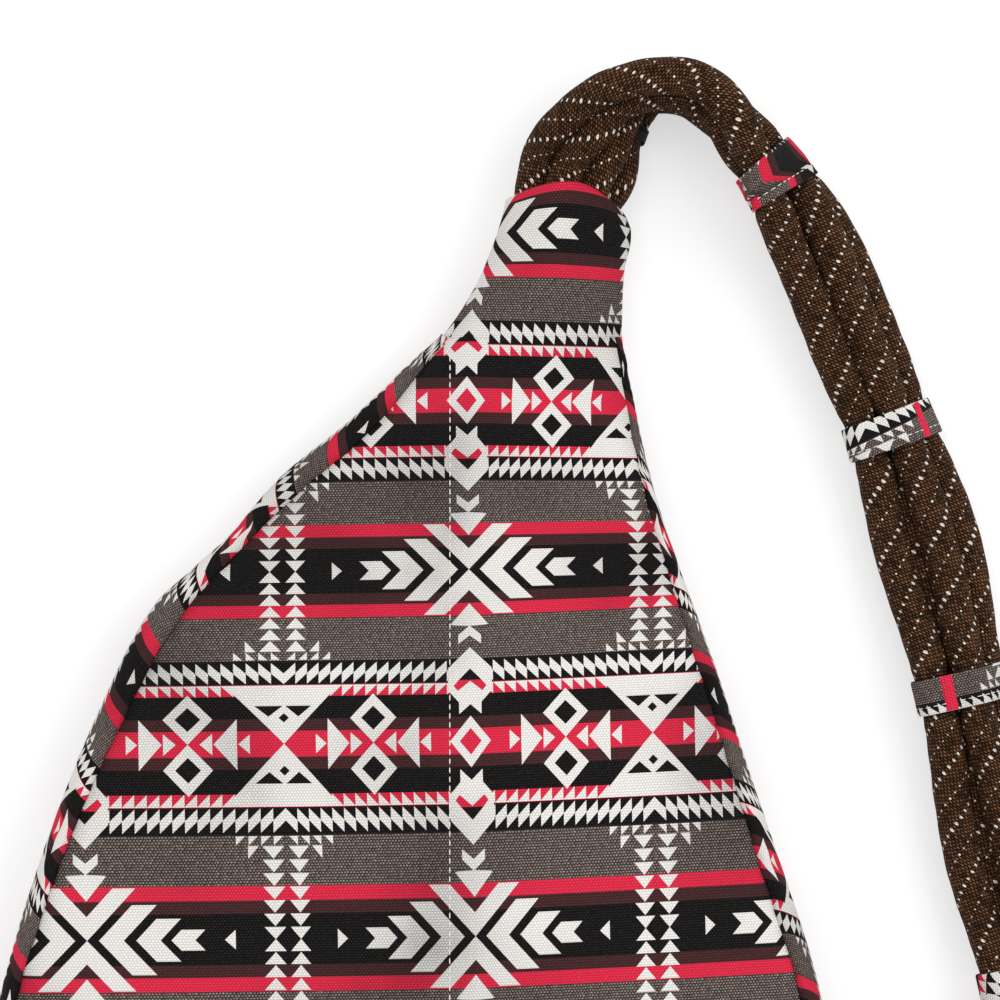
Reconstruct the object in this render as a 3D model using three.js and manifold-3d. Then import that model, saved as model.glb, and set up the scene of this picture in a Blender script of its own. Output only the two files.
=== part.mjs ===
import * as THREE from 'three';
import { mergeVertices } from 'three/addons/utils/BufferGeometryUtils.js';
import Module from 'manifold-3d';

const wasm = await Module();
wasm.setup();

// Rope sling bag lying on its front, in millimetres: z up from the floor, y towards the neck, x towards the strap.

// Sewn body.
const BODY_WIDTH = 264;
const BODY_HEIGHT = 463;
const CORNER_RADIUS = 75;
const BACK_SEAM = 34;
const FRONT_SEAM = 12;
const NECK_BACK_SEAM = 21;
const BACK_CROWN = 10;
const NECK_CROWN = 7;
const LEFT_BULGE = 8;
const RIGHT_BULGE = 6;
const NECK_BULGE = 1.5;
const CANVAS = 2.4;
const PADDING = 3;
const SEW_GAP = 0.3;
const FRONT_RAMP = 28;
const FLAT_END = 240;
const NECK_RISE = 0.045;
const CUFF_LENGTH = 45;

// Strap.
const ROPE_DIAMETER = 9.3;
const ROPE_SPACE = 1.1;
const ROPE_FIT = 0.8;
const BAND_FIT = 0.55;
const BAND_CLOTH = 1.2;
const BAND_WIDTH = 10;
const TIE_CLOTH = 0.35;
const TIE_GAP = 0.7;
const TIE_WIDTH = 6;
const END_CUFF_LENGTH = 44;
const TAB_LENGTH = 34;
const TAB_NECK = 12;
const TAB_HALF = 3;

// Zips: tape edge, teeth, slider and pull, the same on both.
const MAIN_ZIP_INSET = 20;
const MAIN_ZIP_FOOT = { up: 0.281, rise: 5 };
const MAIN_ZIP_HEAD = { up: 0.881, rise: 2.9 };
const MAIN_ZIP_LEAN = 10;
const POCKET_ZIP_HEIGHT = 300;
const POCKET_MARGIN = 12;
const ZIP_STRIP = 12;
const ZIP_SLIT = 0.75;
const TAPE_EDGE = 11.5;
const TAPE_CLOTH = 0.8;
const TOOTH_REACH = 2.1;
const TOOTH_HEIGHT = 2.2;
const TOOTH_PITCH = 6;
const STOP_LENGTH = 3;
const SLIDE_CLEARANCE = 0.3;
const SLIDER_LENGTH = 12;
const SLIDER_HALF = 4.6;
const SLIDER_PLATE = 1;
const PIN_RADIUS = 0.5;
const EYE_RADIUS = 1.2;
const PULL_LENGTH = 20;
const PULL_PLATE = 1.2;
const WINDOW_MARGIN = 0.6;
const WINDOW_CUT = 16;
const POCKET_DEPTH = 120;
const POCKET_ROOM = 9;
const POCKET_CLOTH = 1;
const POCKET_WALL = 4;

// Side seams of the back panel: height, left and right as shares of the body's height and width.
const SEAMS = [
  [0, -0.5, 0.5],
  [0.3, -0.5, 0.5],
  [0.45, -0.49, 0.494],
  [0.556, -0.452, 0.472],
  [0.656, -0.394, 0.418],
  [0.743, -0.327, 0.372],
  [0.817, -0.253, 0.331],
  [0.89, -0.132, 0.292],
  [0.937, -0.037, 0.274],
  [1, 0.054, 0.255],
];

// Strap stations from the neck to the lower corner: place across and up as shares of the body, lift of the
// lowest rope in rope pitches, and the lean in degrees of the three steps from each rope to the next one.
const STRAP = [
  [0.1879, 1.0545, 0.33, 30, -40, -60],
  [0.1949, 1.0914, 0.33, 30, -40, -60],
  [0.2115, 1.1161, 0.46, 14, -22, -54],
  [0.2306, 1.1369, 0.2, -15, -50, -70],
  [0.2566, 1.1543, 0, -50, -72, -70],
  [0.2936, 1.1677, 0, -62, -112, -64],
  [0.3429, 1.1663, 0, -58, -122, -58],
  [0.3805, 1.1503, 0, -66, -114, -66],
  [0.4133, 1.1275, 0, -75, -140, -75],
  [0.4403, 1.1088, 0, -88, -155, -88],
  [0.492, 1.0579, 0, -115, -215, -115],
  [0.5432, 0.9883, 0, -124, -233, -124],
  [0.5789, 0.9374, 0, -123, -237, -123],
  [0.6223, 0.8604, 0, -142, -218, -142],
  [0.6634, 0.7633, 0, -125, -235, -125],
  [0.7045, 0.6562, 0, -142, -218, -142],
  [0.7398, 0.5658, 0, -125, -235, -125],
  [0.7727, 0.4687, 0, -142, -218, -142],
  [0.782, 0.3783, 0, -125, -235, -125],
  [0.7727, 0.2812, 0.5, -154, -206, -154],
  [0.728, 0.2009, 1.2, -174, -186, -174],
  [0.6552, 0.152, 1.7, -179, -181, -179],
  [0.5789, 0.1272, 1.86, -180, -180, -180],
];
const BAND_STATIONS = [9, 12, 14, 16, 18];
const TIE_STATION = 3.8;

const { lerp, clamp, smoothstep, degToRad } = THREE.MathUtils;
const vec = (x, y, z) => new THREE.Vector3(x, y, z);
const count = (n) => Array.from({ length: n }, (_, i) => i);

// Smooth curve through points [x, y], x rising, with the slope of each neighbour pair at the points.
function through(points) {
  const slope = points.map((_, i) => {
    const a = points[Math.max(i - 1, 0)];
    const b = points[Math.min(i + 1, points.length - 1)];
    return (b[1] - a[1]) / (b[0] - a[0]);
  });
  return (x) => {
    const i = clamp(points.findLastIndex((p) => p[0] <= x), 0, points.length - 2);
    const [x0, y0] = points[i];
    const [x1, y1] = points[i + 1];
    const w = x1 - x0;
    const t = clamp((x - x0) / w, 0, 1);
    const s = t * t * (3 - 2 * t);
    return lerp(y0, y1, s) + w * t * (1 - t) * ((1 - t) * slope[i] - t * slope[i + 1]);
  };
}

// Indexed geometry from points and triangles, turned to face outwards.
function closed(points, triangles) {
  const volume = triangles.reduce((sum, [a, b, c]) => {
    const normal = points[b].clone().cross(points[c]);
    return sum + points[a].dot(normal);
  }, 0);
  const faces = volume < 0 ? triangles.map(([a, b, c]) => [a, c, b]) : triangles;
  const geometry = new THREE.BufferGeometry().setFromPoints(points);
  geometry.setIndex(faces.flat());
  return geometry;
}

const quad = (a, b, c, d) => [[a, b, c], [a, c, d]];

// Cloth piece between two grids of points of the same size.
function sheet(outer, inner) {
  const rows = outer.length;
  const cols = outer[0].length;
  const points = [...outer.flat(), ...inner.flat()];
  const top = (j, i) => j * cols + i;
  const under = (j, i) => rows * cols + j * cols + i;
  const faces = [];
  for (const j of count(rows - 1)) {
    for (const i of count(cols - 1)) {
      faces.push(...quad(top(j, i), top(j, i + 1), top(j + 1, i + 1), top(j + 1, i)));
      faces.push(...quad(under(j, i), under(j + 1, i), under(j + 1, i + 1), under(j, i + 1)));
    }
    faces.push(...quad(top(j, 0), top(j + 1, 0), under(j + 1, 0), under(j, 0)));
    faces.push(...quad(top(j + 1, cols - 1), top(j, cols - 1), under(j, cols - 1), under(j + 1, cols - 1)));
  }
  for (const i of count(cols - 1)) {
    faces.push(...quad(top(0, i + 1), top(0, i), under(0, i), under(0, i + 1)));
    faces.push(...quad(top(rows - 1, i), top(rows - 1, i + 1), under(rows - 1, i + 1), under(rows - 1, i)));
  }
  return closed(points, faces);
}

// Tube of cloth from outer rings to inner rings; both ends are open, or the last one is shut.
function sleeve(outer, inner, shut = false) {
  const around = outer[0].length;
  const points = [...outer.flat(), ...inner.flat()];
  const start = outer.length * around;
  const next = (k) => (k + 1) % around;
  const faces = [];
  for (const k of count(around)) {
    for (const j of count(outer.length - 1)) {
      const row = j * around;
      faces.push(...quad(row + k, row + next(k), row + around + next(k), row + around + k));
    }
    for (const j of count(inner.length - 1)) {
      const row = start + j * around;
      faces.push(...quad(row + k, row + around + k, row + around + next(k), row + next(k)));
    }
    faces.push(...quad(k, start + k, start + next(k), next(k)));
    const outEnd = start - around;
    const inEnd = points.length - around;
    if (!shut) {
      faces.push(...quad(outEnd + k, outEnd + next(k), inEnd + next(k), inEnd + k));
    } else if (k > 0 && k < around - 1) {
      faces.push([outEnd, outEnd + k, outEnd + next(k)]);
      faces.push([inEnd, inEnd + next(k), inEnd + k]);
    }
  }
  return closed(points, faces);
}

function toSolid(geometry) {
  const bare = new THREE.BufferGeometry().setAttribute('position', geometry.getAttribute('position'));
  bare.setIndex(geometry.index);
  const merged = mergeVertices(bare, 1e-4);
  return new wasm.Manifold(new wasm.Mesh({
    numProp: 3,
    vertProperties: new Float32Array(merged.getAttribute('position').array),
    triVerts: new Uint32Array(merged.index.array),
  }));
}

function toGeometry(solid) {
  const mesh = solid.getMesh();
  const geometry = new THREE.BufferGeometry();
  geometry.setAttribute('position', new THREE.BufferAttribute(new Float32Array(mesh.vertProperties), 3));
  geometry.setIndex(new THREE.BufferAttribute(new Uint32Array(mesh.triVerts), 1));
  return geometry;
}

const joined = (solids) => solids.reduce((sum, solid) => sum.add(solid));

// Box between two corners.
function block(x0, x1, y0, y1, z0, z1) {
  const box = new THREE.BoxGeometry(x1 - x0, y1 - y0, z1 - z0);
  return toSolid(box.translate((x0 + x1) / 2, (y0 + y1) / 2, (z0 + z1) / 2));
}

// Round bar along y, about the point x, z.
function bar(radius, half, x, z) {
  const rod = new THREE.CylinderGeometry(radius, radius, 2 * half, 14);
  return toSolid(rod.translate(x, 0, z));
}

const part = new THREE.Group();
const canvas = new THREE.MeshStandardMaterial({ color: 0x8d8480, roughness: 0.95 });
const lining = new THREE.MeshStandardMaterial({ color: 0x3a3634, roughness: 0.95 });
const rope = new THREE.MeshStandardMaterial({ color: 0x4a3022, roughness: 0.9 });
const black = new THREE.MeshStandardMaterial({ color: 0x1a1c1e, roughness: 0.6 });
const metal = new THREE.MeshStandardMaterial({ color: 0x55575a, roughness: 0.4, metalness: 1 });

function add(name, geometry, material) {
  const mesh = new THREE.Mesh(geometry, material);
  mesh.name = name;
  part.add(mesh);
  return mesh;
}

// Plan of the body: rows from the bottom seam up to the cuff, each with its left and right seam.

const seamLeft = through(SEAMS.map(([up, left]) => [up * BODY_HEIGHT, left * BODY_WIDTH]));
const seamRight = through(SEAMS.map(([up, , right]) => [up * BODY_HEIGHT, right * BODY_WIDTH]));

function cornerInset(y) {
  const short = Math.max(CORNER_RADIUS - y, 0);
  return CORNER_RADIUS - Math.sqrt(CORNER_RADIUS ** 2 - short ** 2);
}

const left = (y) => seamLeft(y) + cornerInset(y);
const right = (y) => seamRight(y) - cornerInset(y);
const neckward = (y) => smoothstep(y, 0.62 * BODY_HEIGHT, BODY_HEIGHT);
const backSeam = (y) => lerp(BACK_SEAM, NECK_BACK_SEAM, neckward(y));

const cornerRows = [...count(5).map((k) => CORNER_RADIUS * (1 - Math.cos((k / 5) * (Math.PI / 2)))), CORNER_RADIUS];
const plainRows = [0.24, 0.32, 0.4, 0.74, 0.79, 0.84, 0.88, 0.915, 0.945, 0.972, 1].map((f) => f * BODY_HEIGHT);
const pocketRows = [POCKET_ZIP_HEIGHT - ZIP_STRIP, POCKET_ZIP_HEIGHT + ZIP_STRIP];
const rows = [...cornerRows, ...plainRows, FLAT_END, ...pocketRows].sort((a, b) => a - b);

// Back panel: crowned between its seams, thickest in the middle where the pad is.

const COLUMNS = 12;

function crown(y, u) {
  const across = 1 - Math.abs(2 * u - 1) ** 2.4;
  const along = 1 - (1 - Math.min(y / (0.8 * CORNER_RADIUS), 1)) ** 2.4;
  return across * along;
}

function panelPlan(y, u) {
  const foot = y === 0 ? SEW_GAP : 0;
  return [lerp(left(y) + SEW_GAP, right(y) - SEW_GAP, u), y + foot];
}

const backGrid = (drop) => rows.map((y) => count(COLUMNS + 1).map((i) => {
  const u = i / COLUMNS;
  const [x, yy] = panelPlan(y, u);
  const rise = crown(y, u);
  const z = backSeam(y) + lerp(BACK_CROWN, NECK_CROWN, neckward(y)) * rise;
  return vec(x, yy, z - drop * (CANVAS + PADDING * rise * (1 - neckward(y))));
}));
add('back_panel', sheet(backGrid(0), backGrid(1)), canvas);

// Zip lines on the front, each a frame of along, across and outward from the middle of its tape.

function zipFrame(foot, head, outward) {
  const along = head.clone().sub(foot).normalize();
  const across = outward.clone().cross(along).normalize();
  const out = along.clone().cross(across);
  const middle = foot.clone().lerp(head, 0.5).addScaledVector(out, -(CANVAS + SEW_GAP + TAPE_CLOTH / 2));
  return {
    length: foot.distanceTo(head),
    matrix: new THREE.Matrix4().makeBasis(along, across, out).setPosition(middle),
  };
}

const lean = Math.tan(degToRad(MAIN_ZIP_LEAN));
const floorAt = (y) => Math.max(y - FLAT_END, 0) * NECK_RISE;
const besideSeam = ({ up, rise }) => {
  const y = up * BODY_HEIGHT;
  return vec(right(y) - MAIN_ZIP_INSET, y, floorAt(y) + rise);
};
const mainFoot = besideSeam(MAIN_ZIP_FOOT);
const mainHead = besideSeam(MAIN_ZIP_HEAD);
const onMainZip = (y) => mainFoot.clone().lerp(mainHead, (y - mainFoot.y) / (mainHead.y - mainFoot.y));
const mainZip = zipFrame(mainFoot, mainHead, vec(lean, 0, -1));
const pouchTop = POCKET_ZIP_HEIGHT + TAPE_EDGE + 1.5 * POCKET_WALL;
const pocketLeft = left(pouchTop) + FRONT_RAMP + POCKET_MARGIN;
const pocketFoot = vec(pocketLeft, POCKET_ZIP_HEIGHT, floorAt(POCKET_ZIP_HEIGHT));
const pocketHead = pocketFoot.clone().setX(onMainZip(pouchTop).x - 1.6 * ZIP_STRIP - POCKET_MARGIN);
const pocketZip = zipFrame(pocketFoot, pocketHead, vec(0, NECK_RISE, -1));

// Front panel: flat where it lies, ramped up to its seams, with a plane strip along each zip.

const RAMP_COLUMNS = 3;
const FLAT_COLUMNS = 6;

function frontRow(y) {
  const xl = left(y) + SEW_GAP;
  const xr = right(y) - SEW_GAP;
  const zip = onMainZip(y);
  const zx = Math.min(zip.x, xr - ZIP_STRIP - 2);
  const floor = floorAt(y);
  const foot = (FRONT_SEAM - floor) * Math.max(1 - y / FRONT_RAMP, 0) ** 2;
  const flatEnd = zx - 1.6 * ZIP_STRIP;
  const ramp = Math.min(FRONT_RAMP, 0.6 * (flatEnd - xl));
  const ramped = count(RAMP_COLUMNS).map((i) => {
    const t = i / RAMP_COLUMNS;
    return [xl + t * ramp, floor + Math.max((FRONT_SEAM - floor) * (1 - t) ** 2, foot)];
  });
  const level = count(FLAT_COLUMNS + 1).map((i) => [lerp(xl + ramp, flatEnd, i / FLAT_COLUMNS), floor + foot]);
  const strip = [-ZIP_STRIP, ZIP_STRIP].map((d) => {
    const z = Math.max(zip.z + d * lean, floor + foot);
    return [zx + d, z];
  });
  return [...ramped, ...level, ...strip, [xr, FRONT_SEAM]];
}

const frontGrid = (lift) => rows.map((y) => frontRow(y).map(([x, z], i, row) => {
  const edge = i === 0 || i === row.length - 1 || y === 0;
  return vec(x, y === 0 ? SEW_GAP : y, (edge ? FRONT_SEAM : z) + lift);
}));

// Window in the front panel that shows a zip.
function zipWindow({ length, matrix }) {
  const half = SLIDER_HALF + WINDOW_MARGIN;
  const end = length / 2 + STOP_LENGTH + 1;
  const box = new THREE.BoxGeometry(2 * end, 2 * half, WINDOW_CUT).applyMatrix4(matrix);
  return toSolid(box);
}

const frontSolid = toSolid(sheet(frontGrid(0), frontGrid(CANVAS)));
add('front_panel', toGeometry(frontSolid.subtract(zipWindow(mainZip)).subtract(zipWindow(pocketZip))), canvas);

// Gusset strips: half-round side walls swept along the seams, with the bulge that the filled bag has.

const sideRows = rows.filter((y) => y >= CORNER_RADIUS);
const lowRows = rows.filter((y) => y <= CORNER_RADIUS);
const BOTTOM_COLUMNS = 8;
const leftSide = [...sideRows].reverse().map((y) => [left(y), y, LEFT_BULGE]);
const rightSide = sideRows.map((y) => [right(y), y, RIGHT_BULGE]);
const bottomSide = [
  ...[...lowRows].reverse().map((y) => [left(y), y, LEFT_BULGE]),
  ...count(BOTTOM_COLUMNS - 1).map((i) => {
    const u = (i + 1) / BOTTOM_COLUMNS;
    return [lerp(left(0), right(0), u), 0, lerp(LEFT_BULGE, RIGHT_BULGE, u)];
  }),
  ...lowRows.map((y) => [right(y), y, RIGHT_BULGE]),
];
const outline = [...leftSide, ...bottomSide.slice(1, -1), ...rightSide];

// Section of the gusset at a point of the outline, at a distance in from its outer face.
function gussetSection(index, inset) {
  const [x, y, bulge] = outline[index];
  const before = outline[Math.max(index - 1, 0)];
  const after = outline[Math.min(index + 1, outline.length - 1)];
  const square = y === BODY_HEIGHT ? 0 : before[0] - after[0];
  const normal = vec(after[1] - before[1], square, 0).normalize();
  const top = backSeam(y);
  const middle = (top + FRONT_SEAM) / 2;
  const half = (top - FRONT_SEAM) / 2 - inset;
  const reach = lerp(bulge, NECK_BULGE, neckward(y)) - inset;
  return count(7).map((k) => {
    const angle = Math.PI / 2 - (k / 6) * Math.PI;
    return vec(x, y, middle + half * Math.sin(angle)).addScaledVector(normal, reach * Math.cos(angle));
  });
}

// Draws the two ends of a strip back so that neighbouring strips keep the sewing gap.
function strip(from, to, inset) {
  const sections = count(to - from + 1).map((k) => gussetSection(from + k, inset));
  const pull = (end, towards) => end.map((p, k) => {
    const way = towards[k].clone().sub(p).normalize();
    return p.clone().addScaledVector(way, SEW_GAP / 2);
  });
  const last = sections.length - 1;
  return [pull(sections[0], sections[1]), ...sections.slice(1, last), pull(sections[last], sections[last - 1])];
}

const leftEnd = leftSide.length - 1;
const rightStart = outline.length - rightSide.length;
add('gusset_left', sheet(strip(0, leftEnd, 0), strip(0, leftEnd, CANVAS)), canvas);
add('gusset_bottom', sheet(strip(leftEnd, rightStart, 0), strip(leftEnd, rightStart, CANVAS)), canvas);
add('gusset_right', sheet(strip(rightStart, outline.length - 1, 0), strip(rightStart, outline.length - 1, CANVAS)), canvas);

// Pocket lining: a shallow pouch behind the pocket zip, its rim on the front panel.

// Places along a side of the pouch: its two walls rise steeply inside the rim.
function pouchSide(from, to, steps) {
  const inside = count(steps + 1).map((k) => lerp(from + POCKET_WALL, to - POCKET_WALL, k / steps));
  return [from, ...inside, to];
}

const pouchAcross = pouchSide(pocketFoot.x - POCKET_MARGIN + 2, pocketHead.x + POCKET_MARGIN - 2, 6);
const pouchUp = pouchSide(POCKET_ZIP_HEIGHT - POCKET_DEPTH, pouchTop, 6);
const pocketGrid = (lift) => pouchUp.map((y, j) => pouchAcross.map((x, i) => {
  const rim = i % (pouchAcross.length - 1) === 0 || j % (pouchUp.length - 1) === 0;
  return vec(x, y, floorAt(y) + CANVAS + SEW_GAP + (rim ? 0 : POCKET_ROOM) + lift);
}));
add('pocket_lining', sheet(pocketGrid(POCKET_CLOTH), pocketGrid(0)), lining);

// Strap: each rope steps from the one before it by one pitch, so that neighbours always lie side by side.

const PITCH = ROPE_DIAMETER + ROPE_SPACE;
const STEPS = 5;
const stationPlan = new THREE.CatmullRomCurve3(
  STRAP.map(([across, up]) => vec(across * BODY_WIDTH, up * BODY_HEIGHT, 0)),
  false,
  'centripetal',
);
const stationValue = [2, 3, 4, 5].map((column) => through(STRAP.map((row, i) => [i, row[column]])));

// Middle, sideways direction and the four rope centres at a place along the stations.
function strapAt(station) {
  const share = station / (STRAP.length - 1);
  const middle = stationPlan.getPoint(share);
  const travel = stationPlan.getTangent(share);
  const side = vec(travel.y, -travel.x, 0).normalize();
  const [lift, ...leans] = stationValue.map((value) => value(station));
  const places = [[0, 0]];
  for (const angle of leans.map(degToRad)) {
    const [a, b] = places.at(-1);
    places.push([a + Math.cos(angle), b + Math.sin(angle)]);
  }
  const shift = (Math.min(...places.map((p) => p[0])) + Math.max(...places.map((p) => p[0]))) / 2;
  const lowest = Math.min(...places.map((p) => p[1]));
  const ropes = places.map(([a, b]) => {
    const height = ROPE_DIAMETER / 2 + BAND_FIT + BAND_CLOTH + (lift + b - lowest) * PITCH;
    return middle.clone().addScaledVector(side, (a - shift) * PITCH).setZ(height);
  });
  return { side, travel, ropes };
}

const strapSamples = count((STRAP.length - 1) * STEPS + 1).map((k) => strapAt(k / STEPS));
const ropeSection = new THREE.Shape(count(8).map((k) => {
  const angle = (k / 8) * 2 * Math.PI;
  return new THREE.Vector2(Math.cos(angle), Math.sin(angle)).multiplyScalar(ROPE_DIAMETER / 2);
}));
for (const i of count(4)) {
  const route = new THREE.CatmullRomCurve3(strapSamples.map((sample) => sample.ropes[i]));
  const tube = new THREE.ExtrudeGeometry(ropeSection, { steps: 78, extrudePath: route, bevelEnabled: false });
  add(`rope_${i + 1}`, tube, rope);
}

// Ring drawn tight round circles about the given centres, in the plane of two directions.
function hullRing(centres, side, radius, around = 18, up = vec(0, 0, 1)) {
  return count(around).map((k) => {
    const angle = (k / around) * 2 * Math.PI;
    const way = side.clone().multiplyScalar(Math.cos(angle)).addScaledVector(up, Math.sin(angle));
    const far = centres.reduce((best, c) => (c.dot(way) > best.dot(way) ? c : best));
    return far.clone().addScaledVector(way, radius);
  });
}

// Stations spread over a width about one station, measured along a rope.
function stationsOver(station, width, i) {
  const step = strapAt(station + 0.02).ropes[i].clone().sub(strapAt(station).ropes[i]);
  const pace = step.length() / 0.02;
  return [-0.5, 0, 0.5].map((f) => station + (f * width) / pace);
}

// Bands: printed cloth sewn tight round all four ropes.
BAND_STATIONS.forEach((station, i) => {
  const places = stationsOver(station, BAND_WIDTH, 0).map(strapAt);
  const rings = (radius) => places.map(({ ropes, side }) => hullRing(ropes, side, radius));
  const inside = ROPE_DIAMETER / 2 + BAND_FIT;
  add(`strap_band_${i + 1}`, sleeve(rings(inside + BAND_CLOTH), rings(inside)), canvas);
});

// Tie: black cloth round the inner rope alone, square to that rope.
const tieRings = (radius) => stationsOver(TIE_STATION, TIE_WIDTH, 3).map((station) => {
  const here = strapAt(station).ropes[3];
  const way = strapAt(station + 0.02).ropes[3].clone().sub(here).normalize();
  const side = way.clone().cross(vec(0, 0, 1)).normalize();
  return hullRing([here], side, radius, 14, side.clone().cross(way));
});
const tieInside = ROPE_DIAMETER / 2 + TIE_GAP;
add('strap_tie', sleeve(tieRings(tieInside + TIE_CLOTH), tieRings(tieInside)), black);

// Neck cuff: from the section at the top of the body to a sleeve round the rope ends.

const mouth = BODY_HEIGHT + CUFF_LENGTH;
const ropeStart = strapAt(0);
const cuffFoot = {
  left: left(BODY_HEIGHT) - NECK_BULGE,
  right: right(BODY_HEIGHT) + NECK_BULGE,
  low: floorAt(BODY_HEIGHT),
  high: NECK_BACK_SEAM + NECK_CROWN,
};

// Centre of a rope where it crosses a height between the cuff's foot and its mouth.
function ropeAtHeight(i, y) {
  const k = strapSamples.findIndex((sample) => sample.ropes[i].y >= y);
  const above = strapSamples[k].ropes[i];
  const below = strapSamples[Math.max(k - 1, 0)].ropes[i];
  const t = clamp((y - below.y) / Math.max(above.y - below.y, 1e-6), 0, 1);
  return below.clone().lerp(above, t).setY(y);
}

// Ring of the cuff at a height: eased from the neck's section to the ropes, and wide on the left until the mouth.
function cuffRing(y, inset) {
  const wall = ROPE_DIAMETER / 2 + ROPE_FIT + CANVAS;
  const round = (cuffFoot.high - cuffFoot.low) / 2;
  const t = 1 - (1 - (y - BODY_HEIGHT) / CUFF_LENGTH) ** 2;
  const ropes = count(4).map((i) => ropeAtHeight(i, y));
  const eased = ropes.map((c, i) => {
    const x = lerp(cuffFoot.left + round, cuffFoot.right - round, i / 3);
    return vec(x, y, (cuffFoot.low + cuffFoot.high) / 2).lerp(c, t);
  });
  const holdsRopes = y >= Math.min(...ropeStart.ropes.map((c) => c.y)) - 1;
  const centres = holdsRopes ? [...ropes, eased[0]] : eased;
  const radius = holdsRopes ? wall : lerp(round, wall, t);
  return hullRing(centres, vec(1, 0, 0), radius - inset, 24);
}

const cuffHeights = count(8).map((k) => lerp(BODY_HEIGHT + SEW_GAP, mouth, k / 7));
const cuffRings = (inset) => cuffHeights.map((y) => cuffRing(y, inset));
add('neck_cuff', sleeve(cuffRings(0), cuffRings(CANVAS)), canvas);

// Strap end cuff: round the lower rope ends, drawn flat to a tab that is sewn to the side gusset.

const endSamples = strapSamples.filter(({ ropes }) => {
  return ropes[0].distanceTo(strapSamples.at(-1).ropes[0]) < END_CUFF_LENGTH && ropes[0].y < BODY_HEIGHT / 2;
});
const endWall = ROPE_DIAMETER / 2 + ROPE_FIT + BAND_CLOTH;
const { ropes: endRopes, side: endSide, travel: endTravel } = strapSamples.at(-1);
const tabRing = (ahead, radius) => {
  const centres = endRopes.map((c) => c.clone().addScaledVector(endTravel, ahead));
  return hullRing(centres, endSide, radius);
};
const endOuter = [
  ...endSamples.map(({ ropes, side }) => hullRing(ropes, side, endWall)),
  tabRing(TAB_NECK / 2, lerp(endWall, TAB_HALF, 0.3)),
  tabRing(TAB_NECK, TAB_HALF),
  tabRing(TAB_LENGTH, TAB_HALF),
];
const endInner = [
  ...endSamples.map(({ ropes, side }) => hullRing(ropes, side, ROPE_DIAMETER / 2 + ROPE_FIT)),
  tabRing(1, ROPE_DIAMETER / 2 + ROPE_FIT),
];

// Space taken by the gusset and the body behind it, with the sewing gap, for cutting what is sewn onto it.
function gussetSpace(from, to) {
  const rings = count(to - from + 1).map((k) => {
    const face = gussetSection(from + k, -SEW_GAP);
    const back = face.map((p) => vec(p.x - 1.2 * TAB_LENGTH, p.y, p.z)).reverse();
    return [...face, ...back];
  });
  return rings;
}

// Solid between rings, with both ends capped.
function lofted(rings) {
  const around = rings[0].length;
  const points = rings.flat();
  const next = (k) => (k + 1) % around;
  const faces = [];
  for (const k of count(around)) {
    for (const j of count(rings.length - 1)) {
      const row = j * around;
      faces.push(...quad(row + k, row + next(k), row + around + next(k), row + around + k));
    }
    if (k > 0 && k < around - 1) {
      const end = points.length - around;
      faces.push([0, next(k), k]);
      faces.push([end, end + k, end + next(k)]);
    }
  }
  return closed(points, faces);
}

const sewnTo = toSolid(lofted(gussetSpace(rightStart - 4, rightStart + 3)));
add('strap_end_cuff', toGeometry(toSolid(sleeve(endOuter, endInner, true)).subtract(sewnTo)), canvas);

// Zips, drawn along x with the slider's outer face up, then set into their windows.

function zipTape(length, sign) {
  const end = length / 2 + 2 * STOP_LENGTH;
  const half = TAPE_CLOTH / 2;
  const span = (a, b) => (sign > 0 ? [a, b] : [-b, -a]);
  const tape = block(-end, end, ...span(ZIP_SLIT, TAPE_EDGE), -half, half);
  const teeth = count(Math.floor(length / TOOTH_PITCH) - 1).map((k) => {
    const x = -length / 2 + (k + (sign > 0 ? 0.5 : 1)) * TOOTH_PITCH;
    const reach = span(ZIP_SLIT, ZIP_SLIT + TOOTH_REACH);
    return block(x - TOOTH_PITCH / 4, x + TOOTH_PITCH / 4, ...reach, -TOOTH_HEIGHT / 2, TOOTH_HEIGHT / 2);
  });
  return joined([tape, ...teeth]);
}

const plateLow = TOOTH_HEIGHT / 2 + SLIDE_CLEARANCE;
const plateHigh = plateLow + SLIDER_PLATE;
const pinHeight = plateHigh + EYE_RADIUS + SLIDE_CLEARANCE;

function zipSlider() {
  const half = SLIDER_LENGTH / 2;
  const slot = TAPE_CLOTH / 2 + SLIDE_CLEARANCE;
  const flange = ZIP_SLIT + TOOTH_REACH + SLIDE_CLEARANCE;
  const wings = [1, -1].flatMap((s) => [1, -1].map((t) => {
    const ys = s > 0 ? [flange, SLIDER_HALF] : [-SLIDER_HALF, -flange];
    const zs = t > 0 ? [slot, plateHigh] : [-plateHigh, -slot];
    return block(-half, half, ...ys, ...zs);
  }));
  const lugs = [1, -1].map((s) => {
    const ys = s > 0 ? [1.9, 2.8] : [-2.8, -1.9];
    return block(-1.4, 1.4, ...ys, plateLow + 0.2, pinHeight + 0.9);
  });
  return joined([
    block(-half, half, -SLIDER_HALF, SLIDER_HALF, plateLow, plateHigh),
    block(-half, half, -SLIDER_HALF, SLIDER_HALF, -plateHigh, -plateLow),
    ...wings,
    block(half - 4, half, -0.4, 0.4, -plateHigh + 0.2, plateHigh - 0.2),
    ...lugs,
    bar(PIN_RADIUS, 2.4, 0, pinHeight),
  ]);
}

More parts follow.
